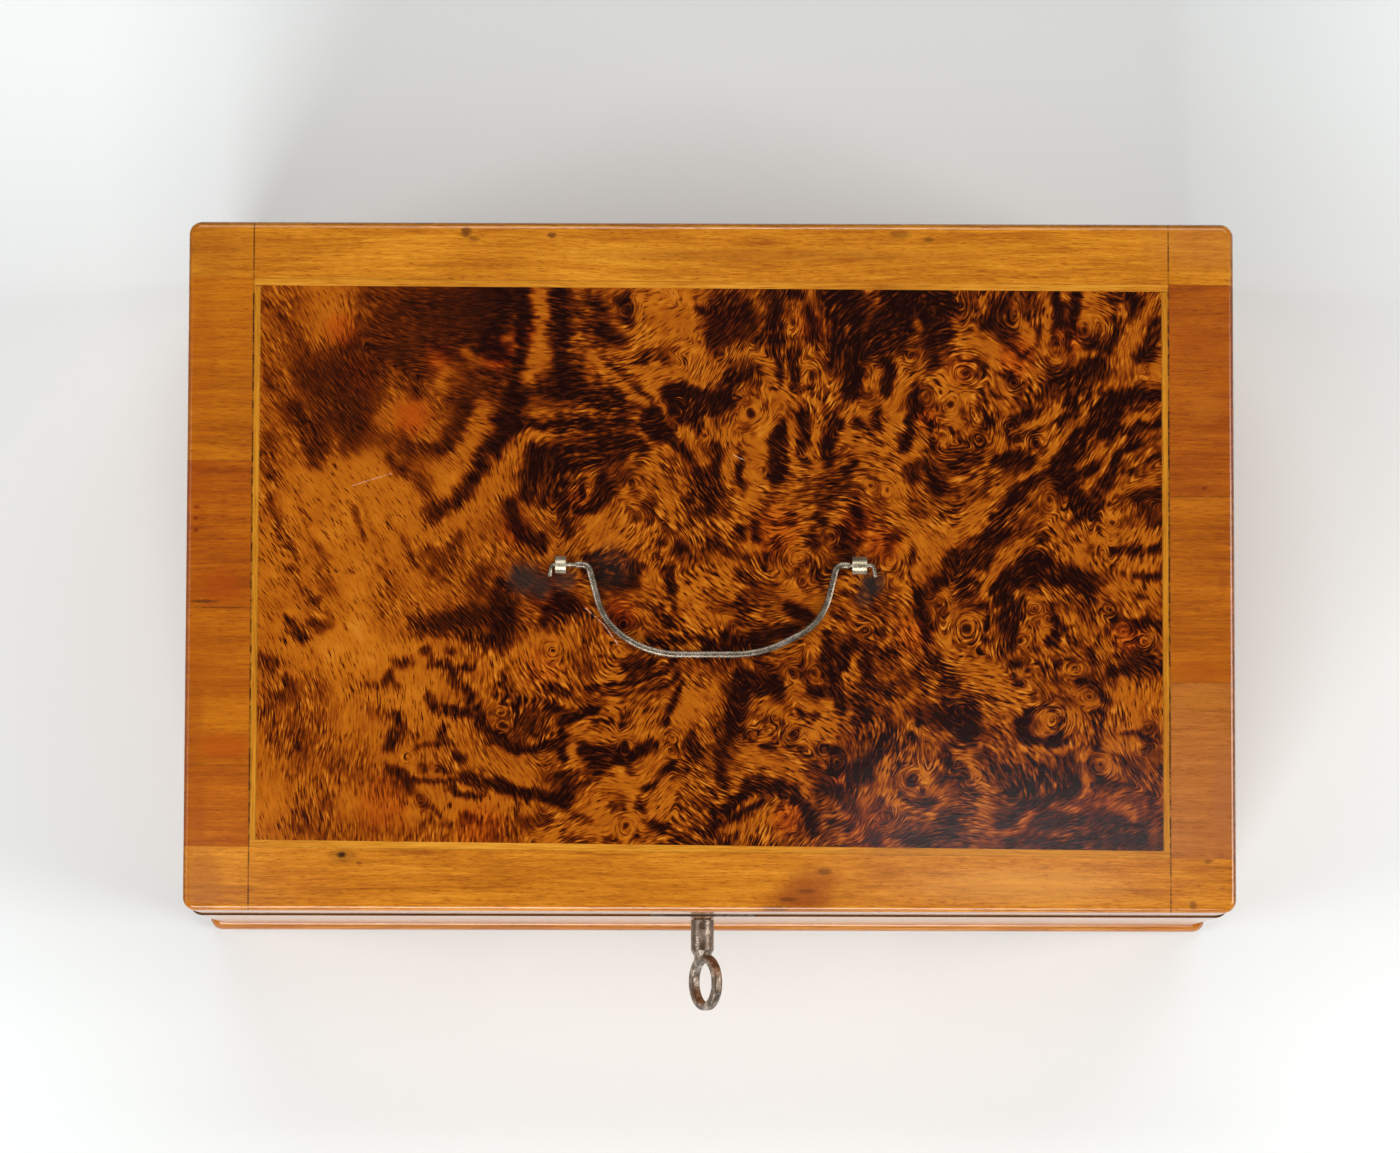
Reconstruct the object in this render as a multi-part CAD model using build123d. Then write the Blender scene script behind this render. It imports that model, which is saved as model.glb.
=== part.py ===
from build123d import *
import math
import os

# Ditty box: a hinged wooden box for papers and keepsakes, with a bail handle on its lid and a lock.
# Millimetres. +X is right, +Y is towards the hinges, +Z is up. The origin is the centre of the underside.

# ---------------------------------------------------------------- driving sizes: the wooden box
lid_length = 321.6          # X, over the lid's edges
lid_width = 212.0           # Y, over the lid's edges
overall_height = 144.0      # underside to the lid's top face
lid_depth = 34.0            # the lid's top face down to its rails' lower edge
body_ledge = 0.6            # how far the body stands out past the lid all round
corner_radius = 4.0         # upright corners of the lid, body and bottom board
lid_arris_radius = 2.0      # rounded top edge of the lid
wall_thickness = 12.0       # body walls and lid rails
lid_board_thickness = 8.8
veneer_thickness = 1.2
bottom_thickness = 8.0
bottom_overhang = 2.0       # the bottom board past the walls
bottom_edge_radius = 3.4    # rounded edge of the bottom board
joint_gap = 0.3             # between the shut lid and the body

# Lid veneers: the border's width at each corner, the strip round the panel, the joints in the side borders.
border_side = 20.1
border_back_left = 17.7
border_back_right = 18.9
border_front_left = 19.4
border_front_right = 16.6
stringing_width = 2.2
left_border_joints = [31.9, -13.4, -61.7]     # Y
right_border_joints = [21.5, -35.7]           # Y

# ---------------------------------------------------------------- driving sizes: hinges
hinge_end_distance = 55.0   # each hinge's middle in from the lid's end
hinge_length = 40.0
hinge_inset = 3.0           # pin axis in from the body's back face
hinge_knuckle_radius = 2.3
hinge_pin_radius = 1.1
hinge_leaf_thickness = 1.2
hinge_leaf_margin = 0.4     # leaf edge short of the wall's inner face
hinge_screw_setback = 5.4   # screws from the pin axis
hinge_knuckle_count = 5
lid_opening_angle = 98.0
lid_stop_clearance = 8.0    # degrees left between the back chamfers of lid and body when the lid is open

# ---------------------------------------------------------------- driving sizes: lock and key
lock_x = -2.0               # lock and key centre line
plate_width = 42.0
plate_thickness = 1.5
plate_bottom_drop = 14.0    # main plate's lower edge below the key axis
selvedge_width = 32.5
cap_width = 31.0
cap_depth = 6.0
cap_sheet = 1.0
cap_bottom_drop = 10.0      # cap's lower edge below the key axis
bolt_throw = 4.0
bolt_thickness = 2.35
bolt_bar_height = 4.7
bolt_leg_height = 3.3
bolt_leg_width = 2.5
bolt_nose_height = 3.4
bolt_neck_width = 4.5       # the upright between the bolt's bar and its nose
bolt_neck_offset = 3.0      # the neck's left edge from the lock's centre line, with the bolt drawn back
guide_radius = 1.0
guide_offsets = (-6.0, 7.0) # guide stumps from the lock's centre line
hook_thickness = 2.0
hook_stem_width = 3.0
hook_stem_margin = 1.8      # the hook's stem from the cap's right wall
hook_foot_length = 3.8
hook_foot_height = 3.0
hook_foot_clearance = 0.9   # the drawn-back bolt's nose from the hook's foot, along X
hook_lift = 0.8             # the bolt's nose above the hook's foot
hook_bolt_gap = 2.9         # the bolt's bar below the hook's foot
link_plate_length = 33.0
link_plate_width = 8.6
link_screw_inset = 3.2
lock_screw_inset = 2.6      # from the main plate's upright edges
lock_screw_low = 3.4        # from its lower edge
lock_screw_high = 8.0       # from its upper edge
spring_radius = 8.0
spring_thickness = 0.5
spring_width = 2.0
post_radius = 1.3

key_turned = 30.0           # degrees past the slot, clockwise from the front
key_full_turn = 360.0       # from the slot round to the slot again, which throws the bolt
key_shank_radius = 2.8
key_shaft_radius = 3.6      # the thick part outside the box
key_shaft_length = 11.6
key_shoulder_length = 1.9   # chamfer between the shaft and the neck
key_shoulder_depth = 1.0
key_neck_radius = 2.6
key_neck_length = 1.4
key_bow_bite = 1.8          # the bow's band runs this far back over the neck
key_bore_depth = 12.0
key_bow_length = 17.7       # along the key
key_bow_width = 16.6
key_bow_band = 2.5
key_bow_thickness = 3.2
key_bow_lean = -14.0        # degrees, the bow is bent upwards a little in its own plane
key_bit_reach = 7.6         # from the key axis
key_bit_thickness = 2.4
key_bit_width = 3.8
key_ward_width = 0.9        # the notch in the bit
key_ward_depth = 2.9
key_bow_rounding = 0.8

# ---------------------------------------------------------------- driving sizes: bail handle and staples
bail_axis_y = 0.0
bail_lid_gap = 0.55         # under the folded bail
bail_section = 1.9          # width of the thick part of the bail
bail_section_height = 1.7
bail_section_corner = 0.5
bail_pin_radius = 0.65
staple_x_left = -45.9
staple_x_right = 45.7
staple_width_left = 3.4
staple_width_right = 4.6
bail_shoulder_in_left = 8.5 # from a staple's middle to where the bail turns into its leg
bail_shoulder_in_right = 7.0
bail_shoulder_length = 3.8  # thick part along the pivot line, outward of the turn
bail_shoulder_radius = 2.4
bail_left_bends = [         # from the left shoulder: X, Y and bend radius
    (5.0, -18.6, 20.0),
    (19.9, -27.5, 30.0),
]
bail_right_bends = [        # from the right shoulder: X, Y and bend radius
    (-23.2, -27.4, 35.0),
    (-4.3, -17.8, 18.0),
]
bail_hook_out_left = 2.7    # from a staple's middle to where the pin turns over
bail_hook_out_right = 4.2
bail_hook_reach = 3.7
bail_hook_splay = 0.7
bail_hook_radius = 1.1
bail_pin_root = 1.0         # the pin's end inside the thick part
staple_strap = 1.0
staple_inner_radius = 1.7
staple_clench = 6.0         # bent-over end under the lid board

# ---------------------------------------------------------------- driving sizes: fasteners and fits
screw_shank_radius = 1.1
screw_head_radius = 2.1
screw_head_height = 1.2
screw_length = 11.0
lock_screw_length = 7.0     # short enough to stay inside the front wall
screw_slot = 0.5
screw_end_margin = 7.0      # outer hinge screws from the hinge's end
nail_radius = 0.9
nail_head_radius = 1.9
nail_head_height = 0.8
nail_length = 26.0
nail_pitch = 70.0
running_fit = 0.08          # radial, pins and posts in their bores
moving_clearance = 0.3      # between parts that move past each other

# ---------------------------------------------------------------- sizes that follow from these
lid_bottom = overall_height - lid_depth
body_top = lid_bottom - joint_gap
body_length = lid_length + 2 * body_ledge
body_width = lid_width + 2 * body_ledge
body_front = -body_width / 2
body_back = body_width / 2
wall_inner_front = body_front + wall_thickness
wall_inner_back = body_back - wall_thickness
veneer_bottom = overall_height - veneer_thickness
lid_board_bottom = veneer_bottom - lid_board_thickness
hinge_y = body_back - hinge_inset
hinge_z = body_top + joint_gap / 2
hinge_offset = lid_length / 2 - hinge_end_distance
hinge_leaf_width = hinge_y - wall_inner_back - hinge_leaf_margin
chamfer_angle = math.radians((lid_opening_angle + lid_stop_clearance) / 2)
far = 2 * lid_length        # longer than anything it has to cut through

plate_back = wall_inner_front
plate_front = plate_back - plate_thickness
cap_front = plate_front - cap_depth
bolt_back = plate_front - moving_clearance
bolt_front = bolt_back - bolt_thickness
selvedge_bottom = body_top - plate_thickness
hook_y = (bolt_back + bolt_front) / 2
nose_top = selvedge_bottom - 4 * moving_clearance
nose_bottom = nose_top - bolt_nose_height
hook_foot_top = nose_bottom - hook_lift
hook_bottom = hook_foot_top - hook_foot_height
bolt_bar_top = hook_bottom - hook_bolt_gap
bolt_bar_bottom = bolt_bar_top - bolt_bar_height
key_height = bolt_bar_bottom - 2 * moving_clearance - key_bit_reach
key_tip = plate_front - 2 * moving_clearance
key_collar = body_front - moving_clearance
bail_axis_lift = bail_lid_gap + bail_section_height / 2
bail_axis_z = overall_height + bail_axis_lift
bail_shoulder_left = staple_x_left + bail_shoulder_in_left
bail_shoulder_right = staple_x_right - bail_shoulder_in_right


# ---------------------------------------------------------------- helpers
def block(x, y, z):
    """A box from three (low, high) spans."""
    size = [high - low for low, high in (x, y, z)]
    middle = [(high + low) / 2 for low, high in (x, y, z)]
    return Pos(*middle) * Box(*size)


def span(middle, size):
    return (middle - size / 2, middle + size / 2)


def rod_y(x, z, y, radius):
    """A cylinder along Y over the span y."""
    return Pos(x, (y[0] + y[1]) / 2, z) * Rot(90, 0, 0) * Cylinder(radius, y[1] - y[0])


def rod_x(x, y, z, radius):
    """A cylinder along X over the span x."""
    return Pos((x[0] + x[1]) / 2, y, z) * Rot(0, 90, 0) * Cylinder(radius, x[1] - x[0])


def rod_z(x, y, z, radius):
    """A cylinder along Z over the span z."""
    return Pos(x, y, (z[0] + z[1]) / 2) * Cylinder(radius, z[1] - z[0])


def prism(points, z):
    """A plan outline taken up over the span z."""
    outline = make_face(Polyline([*points, points[0]]))
    return Pos(0, 0, z[0]) * extrude(outline, z[1] - z[0])


def rounded_block(length, width, z):
    """A block with rounded upright corners."""
    outline = RectangleRounded(length, width, corner_radius)
    return Pos(0, 0, z[0]) * extrude(outline, z[1] - z[0])


def save(node, shape):
    export_step(shape, f"parts/{node}.step")


def mitred_sides(ring, length, width):
    """Cuts a frame into front, back, left and right pieces that meet at mitres."""
    x = length / 2
    y = width / 2
    reach = 2 * wall_thickness
    span_z = (-far, far)
    outlines = {
        "front": [(-x, -y), (x, -y), (x - reach, -y + reach), (-x + reach, -y + reach)],
        "back": [(-x, y), (x, y), (x - reach, y - reach), (-x + reach, y - reach)],
        "left": [(-x, -y), (-x, y), (-x + reach, y - reach), (-x + reach, -y + reach)],
        "right": [(x, -y), (x, y), (x - reach, y - reach), (x - reach, -y + reach)],
    }
    return {side: ring & prism(points, span_z) for side, points in outlines.items()}


def hinge_wedge(z_edge, direction):
    """The wedge cut off the back arris of the lid (direction 1) or of the body (direction -1)."""
    depth = 3 * hinge_inset
    rise = direction * depth * math.tan(chamfer_angle)
    points = [
        (0, hinge_y, z_edge),
        (0, hinge_y + depth, z_edge),
        (0, hinge_y + depth, z_edge + rise),
    ]
    wedge = make_face(Polyline([*points, points[0]]))
    return Pos(-far / 2, 0, 0) * extrude(wedge, far, dir=(1, 0, 0))


def screw(length, slotted=True):
    """A countersunk wood screw with its head's face at the origin, pointing along -Z."""
    head = Cone(screw_shank_radius, screw_head_radius, screw_head_height)
    head = Pos(0, 0, -screw_head_height / 2) * head
    shank_length = length - screw_head_height
    shank = Pos(0, 0, -screw_head_height - shank_length / 2) * Cylinder(screw_shank_radius, shank_length)
    body = head + shank
    if slotted:
        body -= Box(3 * screw_head_radius, screw_slot, screw_slot * 2)
    return body


def placed(shapes):
    """Separate solids kept in one node."""
    return Compound(children=[shape.solid() for shape in shapes])


# ---------------------------------------------------------------- bail handle, staples
def bail_path():
    """The bail's centre line in plan, its pivot line on X."""
    bends = [(bail_shoulder_left, 0, bail_shoulder_radius)]
    bends += [(bail_shoulder_left + x, y, radius) for x, y, radius in bail_left_bends]
    bends += [(bail_shoulder_right + x, y, radius) for x, y, radius in bail_right_bends]
    bends += [(bail_shoulder_right, 0, bail_shoulder_radius)]
    first = (bail_shoulder_left - bail_shoulder_length, 0)
    last = (bail_shoulder_right + bail_shoulder_length, 0)
    corners = [(x, y) for x, y, _ in bends]
    return FilletPolyline([first, *corners, last], radius=[radius for _, _, radius in bends])


def swept(path, section):
    start = Plane(origin=path @ 0, x_dir=(0, 0, 1), z_dir=path % 0)
    return sweep(start * section, path)


def make_bail():
    bail = swept(bail_path(), RectangleRounded(bail_section_height, bail_section, bail_section_corner))
    thick_end = bail_shoulder_length - bail_pin_root
    ends = [
        (bail_shoulder_left - thick_end, staple_x_left - bail_hook_out_left, -1),
        (bail_shoulder_right + thick_end, staple_x_right + bail_hook_out_right, 1),
    ]
    for root, turn, side in ends:
        points = [(root, 0), (turn, 0), (turn + side * bail_hook_splay, -bail_hook_reach)]
        path = FilletPolyline(points, radius=bail_hook_radius)
        bail += swept(path, Circle(bail_pin_radius))
    return Pos(0, bail_axis_y, bail_axis_z) * bail


def staple_profile(strap_low):
    """The staple's side view, Y across and Z up from the lid's face: a strap arched over the pin."""
    inner = staple_inner_radius
    outer = inner + staple_strap
    crown = bail_axis_lift + bail_pin_radius + moving_clearance - inner
    arch = Circle(outer) - Circle(inner)
    arch = Pos(0, crown) * (arch & Pos(0, outer) * Rectangle(2 * outer, 2 * outer))
    leg_height = crown - strap_low
    legs = Rectangle(2 * outer, leg_height) - Rectangle(2 * inner, leg_height)
    return arch + Pos(0, strap_low + leg_height / 2) * legs


def staple_legs(x, width, z):
    """The staple's two legs over the span z."""
    inner = staple_inner_radius
    offset = inner + staple_strap / 2
    legs = [block(span(x, width), span(bail_axis_y + side * offset, staple_strap), z) for side in (-1, 1)]
    return legs[0] + legs[1]


def make_staple(x, width):
    strap_low = lid_board_bottom - overall_height
    profile = Plane(origin=(x - width / 2, bail_axis_y, overall_height), x_dir=(0, 1, 0), z_dir=(1, 0, 0))
    staple = extrude(profile * staple_profile(strap_low), width)
    for side in (-1, 1):
        inner = bail_axis_y + side * staple_inner_radius
        outer = inner + side * staple_clench
        clench_z = (lid_board_bottom - staple_strap, lid_board_bottom)
        staple += block(span(x, width), (min(inner, outer), max(inner, outer)), clench_z)
    return staple


# ---------------------------------------------------------------- hinges
def hinge_screw_places(middle):
    reach = hinge_length / 2 - screw_end_margin
    y = hinge_y - hinge_screw_setback
    return [(middle + offset, y) for offset in (-reach, 0, reach)]


def knuckles(middle, first):
    """Every second knuckle's span along X from number first on, with a working gap between neighbours."""
    pitch = hinge_length / hinge_knuckle_count
    start = middle - hinge_length / 2
    gap = moving_clearance / 2
    spans = []
    last = hinge_knuckle_count - 1
    for number in range(first, hinge_knuckle_count, 2):
        low = start + number * pitch + (gap if number > 0 else 0)
        high = start + (number + 1) * pitch - (gap if number < last else 0)
        spans.append((low, high))
    return spans


def make_leaf(middle, first, leaf_z, screws):
    """A hinge leaf: a plate from the wall's inner side to the pin, rolled into its own knuckles."""
    x = span(middle, hinge_length)
    leaf = block(x, (hinge_y - hinge_leaf_width, hinge_y - hinge_knuckle_radius - moving_clearance), leaf_z)
    for low, high in knuckles(middle, first):
        leaf += block((low, high), (hinge_y - hinge_leaf_width, hinge_y), leaf_z)
        leaf += rod_x((low, high), hinge_y, hinge_z, hinge_knuckle_radius)
    leaf -= rod_x(x, hinge_y, hinge_z, hinge_pin_radius + running_fit)
    for tool in screws:
        leaf -= tool
    return leaf


def hinge_recess(middle):
    """The round groove cut in both edges for the knuckles."""
    return rod_x(span(middle, hinge_length), hinge_y, hinge_z, hinge_knuckle_radius + moving_clearance)


body_leaf_z = (body_top - hinge_leaf_thickness, body_top)
lid_leaf_z = (lid_bottom, lid_bottom + hinge_leaf_thickness)


def leaf_recess(middle, leaf_z):
    return block(span(middle, hinge_length), (hinge_y - hinge_leaf_width, hinge_y), leaf_z)


def body_hinge_screws(middle, slotted=True):
    return [Pos(x, y, body_top) * screw(screw_length, slotted) for x, y in hinge_screw_places(middle)]


def lid_hinge_screws(middle, slotted=True):
    turned = Rot(180, 0, 0) * screw(screw_length, slotted)
    return [Pos(x, y, lid_bottom) * turned for x, y in hinge_screw_places(middle)]


# ---------------------------------------------------------------- lock
def keyhole(y, clearance):
    """A round hole with a slot below it for the bit, over the span y."""
    hole = rod_y(lock_x, key_height, y, key_shank_radius + clearance)
    slot_width = key_bit_thickness + 2 * clearance
    slot = block(span(lock_x, slot_width), y, (key_height - key_bit_reach - clearance, key_height))
    return hole + slot


plate_z = (key_height - plate_bottom_drop, body_top)
cap_z = (key_height - cap_bottom_drop, selvedge_bottom)
cap_inner_half = cap_width / 2 - cap_sheet
# The bolt's own places are given drawn back, with the key upright in its slot.
bolt_left = lock_x - cap_inner_half + moving_clearance
bolt_right = lock_x + cap_inner_half - moving_clearance - bolt_throw
bolt_at_rest = bolt_throw * key_turned / key_full_turn
hook_stem_right = lock_x + cap_inner_half - hook_stem_margin
hook_stem_x = (hook_stem_right - hook_stem_width, hook_stem_right)
hook_foot_tip = hook_stem_x[0] - hook_foot_length
neck_left = lock_x - bolt_neck_offset
nose_x = (neck_left, hook_foot_tip - hook_foot_clearance)
guide_x = [lock_x + offset for offset in guide_offsets]
guide_z = bolt_bar_bottom + bolt_bar_height / 2


def lock_screw_places():
    x = plate_width / 2 - lock_screw_inset
    low = plate_z[0] + lock_screw_low
    high = plate_z[1] - lock_screw_high
    return [(lock_x + side * x, z) for side in (-1, 1) for z in (low, high)]


def lock_screws(slotted=True):
    """Screws through the main plate into the wall, heads towards the inside of the box."""
    turned = Rot(-90, 0, 0) * screw(lock_screw_length, slotted)
    return [Pos(x, plate_back, z) * turned for x, z in lock_screw_places()]


def make_main_plate():
    plate = block(span(lock_x, plate_width), (plate_front, plate_back), plate_z)
    selvedge = block(span(lock_x, selvedge_width), (body_front, plate_back), (selvedge_bottom, body_top))
    plate += selvedge
    slot_y = (bolt_front - 2 * moving_clearance, plate_front)
    slot_x = (hook_foot_tip - 2 * moving_clearance, hook_stem_x[1] + 2 * moving_clearance)
    plate -= block(slot_x, slot_y, (selvedge_bottom, body_top))
    plate -= rod_y(lock_x, key_height, (plate_front, plate_back), post_radius)
    for x in guide_x:
        plate -= rod_y(x, guide_z, (plate_front, plate_back), guide_radius)
    for tool in lock_screws(slotted=False):
        plate -= tool
    return plate


def make_cap():
    outer = block(span(lock_x, cap_width), (cap_front, plate_front), cap_z)
    inner_z = (cap_z[0] + cap_sheet, cap_z[1])
    inner = block(span(lock_x, 2 * cap_inner_half), (cap_front + cap_sheet, plate_front), inner_z)
    return outer - inner - keyhole((cap_front, cap_front + cap_sheet), 2 * moving_clearance)


def make_bolt():
    y = (bolt_front, bolt_back)
    bolt = block((bolt_left, bolt_right), y, (bolt_bar_bottom, bolt_bar_top))
    leg_z = (bolt_bar_bottom - bolt_leg_height, bolt_bar_bottom)
    bolt += block((bolt_left, bolt_left + bolt_leg_width), y, leg_z)
    bolt += block((bolt_right - bolt_leg_width, bolt_right), y, leg_z)
    bolt += block((neck_left, neck_left + bolt_neck_width), y, (bolt_bar_top, nose_bottom))
    bolt += block(nose_x, y, (nose_bottom, nose_top))
    for x in guide_x:
        slot_low = x - bolt_throw - guide_radius - running_fit
        slot_high = x + guide_radius + running_fit
        slot_height = 2 * (guide_radius + running_fit)
        bolt -= block((slot_low, slot_high), y, span(guide_z, slot_height))
    return Pos(bolt_at_rest, 0, 0) * bolt


def make_guides():
    y = (bolt_front - moving_clearance, plate_back)
    return placed([rod_y(x, guide_z, y, guide_radius) for x in guide_x])


def make_spring():
    """A leaf spring from the cap's left wall down on to the bolt's top edge."""
    wall_x = lock_x - cap_inner_half
    y = span((bolt_front + bolt_back) / 2, spring_width)
    centre_x = wall_x + spring_radius
    centre_z = bolt_bar_top + joint_gap + spring_radius
    leaf = rod_y(centre_x, centre_z, y, spring_radius)
    leaf -= rod_y(centre_x, centre_z, y, spring_radius - spring_thickness)
    quarter = block((wall_x, centre_x), y, (centre_z - spring_radius, centre_z))
    foot = block((wall_x, wall_x + spring_thickness), y, (centre_z, cap_z[1]))
    return (leaf & quarter) + foot


def make_link_plate():
    y = (plate_back - link_plate_width, plate_back)
    plate = block(span(lock_x, link_plate_length), y, (lid_bottom, lid_bottom + plate_thickness))
    hook_y_span = span(hook_y, hook_thickness)
    plate += block(hook_stem_x, hook_y_span, (hook_bottom, lid_bottom))
    plate += block((hook_foot_tip, hook_stem_x[0]), hook_y_span, (hook_bottom, hook_foot_top))
    for tool in link_screws(slotted=False):
        plate -= tool
    return plate


def link_screws(slotted=True):
    turned = Rot(180, 0, 0) * screw(screw_length, slotted)
    reach = link_plate_length / 2 - link_screw_inset
    y = plate_back - link_plate_width / 2
    return [Pos(lock_x + side * reach, y, lid_bottom) * turned for side in (-1, 1)]


# ---------------------------------------------------------------- key
def make_key():
    """The key as it stands when it goes in, bit down and bow upright, then turned about its axis."""
    shaft_end = key_collar - key_shaft_length
    key = rod_y(lock_x, key_height, (key_collar, key_tip), key_shank_radius)
    shaft = rod_y(lock_x, key_height, (shaft_end, key_collar), key_shaft_radius)
    shoulder = shaft.edges().filter_by(GeomType.CIRCLE).sort_by(Axis.Y)[0]
    key += chamfer(shoulder, key_shoulder_length, key_shoulder_depth)
    neck_end = shaft_end - key_neck_length
    key += rod_y(lock_x, key_height, (neck_end, shaft_end), key_neck_radius)
    bow_face = Ellipse(key_bow_length / 2, key_bow_width / 2)
    bow_face -= Ellipse(key_bow_length / 2 - key_bow_band, key_bow_width / 2 - key_bow_band)
    bow = extrude(bow_face, key_bow_thickness / 2, both=True)
    rim = bow.edges().filter_by(GeomType.ELLIPSE)
    bow = fillet(rim, key_bow_rounding)
    # The bow's plane holds the key axis: its length runs along -Y, its width along Z. It leans over a little.
    bow = Pos(-key_bow_length / 2 - key_neck_length + key_bow_bite, 0, 0) * bow
    bow = Rot(0, 0, key_bow_lean) * bow
    bow = Plane(origin=(lock_x, shaft_end, key_height), x_dir=(0, 1, 0), z_dir=(1, 0, 0)) * bow
    key += bow
    bit_y = (key_tip - key_bit_width, key_tip)
    bit = block(span(lock_x, key_bit_thickness), bit_y, (key_height - key_bit_reach, key_height))
    ward_y = span(key_tip - key_bit_width / 2, key_ward_width)
    bit_low = key_height - key_bit_reach
    bit -= block(span(lock_x, far), ward_y, (bit_low, bit_low + key_ward_depth))
    key += bit
    key -= rod_y(lock_x, key_height, (key_tip - key_bore_depth, key_tip), post_radius + running_fit)
    axis = Axis((lock_x, 0, key_height), (0, 1, 0))
    return key.rotate(axis, key_turned)


# ---------------------------------------------------------------- bottom board
def nail_places():
    """Nails along each wall's middle, evenly spaced."""
    x_line = body_length / 2 - wall_thickness / 2
    y_line = body_width / 2 - wall_thickness / 2
    places = []
    count = round(body_length / nail_pitch)
    for number in range(count):
        x = (number - (count - 1) / 2) * nail_pitch
        places += [(x, -y_line), (x, y_line)]
    for y in (-nail_pitch / 2, nail_pitch / 2):
        places += [(-x_line, y), (x_line, y)]
    return places


def nail(x, y):
    """A nail from below with its head let in flush."""
    head = rod_z(x, y, (0, nail_head_height), nail_head_radius)
    return head + rod_z(x, y, (nail_head_height, nail_length), nail_radius)


def make_bottom():
    length = body_length + 2 * bottom_overhang
    width = body_width + 2 * bottom_overhang
    outline = RectangleRounded(length, width, corner_radius)
    board = extrude(outline, bottom_thickness)
    rims = board.edges().group_by(Axis.Z)[0] + board.edges().group_by(Axis.Z)[-1]
    return fillet(rims, bottom_edge_radius)


# ---------------------------------------------------------------- lid veneers
def border_line(left_width, right_width, side):
    """The line of a border's inner edge, which gives its Y at any X, from its widths at the two corners."""
    x = lid_length / 2 - border_side
    left = side * (lid_width / 2 - left_width)
    right = side * (lid_width / 2 - right_width)
    slope = (right - left) / (2 * x)
    return lambda at: left + slope * (at + x)


def veneer_outlines():
    """Every piece of the lid's veneer as a plan outline."""
    back = border_line(border_back_left, border_back_right, 1)
    front = border_line(border_front_left, border_front_right, -1)
    end = lid_length / 2
    x = end - border_side
    edge = lid_width / 2
    string = stringing_width
    pieces = {
        "border_back": [(-end, edge), (end, edge), (end, back(end)), (-end, back(-end))],
        "border_front": [(-end, -edge), (end, -edge), (end, front(end)), (-end, front(-end))],
        "stringing_back": [(-x, back(-x)), (x, back(x)), (x, back(x) - string), (-x, back(-x) - string)],
        "stringing_front": [(-x, front(-x)), (x, front(x)), (x, front(x) + string), (-x, front(-x) + string)],
    }
    for name, side in (("left", -1), ("right", 1)):
        outer = side * x
        inner = side * (x - string)
        pieces["stringing_" + name] = [
            (outer, back(outer) - string),
            (inner, back(inner) - string),
            (inner, front(inner) + string),
            (outer, front(outer) + string),
        ]
        joints = left_border_joints if side < 0 else right_border_joints
        count = len(joints)
        for number in range(count + 1):
            tops = (joints[number - 1],) * 2 if number > 0 else (back(side * end), back(outer))
            lows = (joints[number],) * 2 if number < count else (front(side * end), front(outer))
            pieces[f"border_{name}_{number + 1}"] = [
                (side * end, tops[0]),
                (outer, tops[1]),
                (outer, lows[1]),
                (side * end, lows[0]),
            ]
    pane = x - string
    pieces["burl_panel"] = [
        (-pane, back(-pane) - string),
        (pane, back(pane) - string),
        (pane, front(pane) + string),
        (-pane, front(-pane) + string),
    ]
    return pieces


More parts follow.
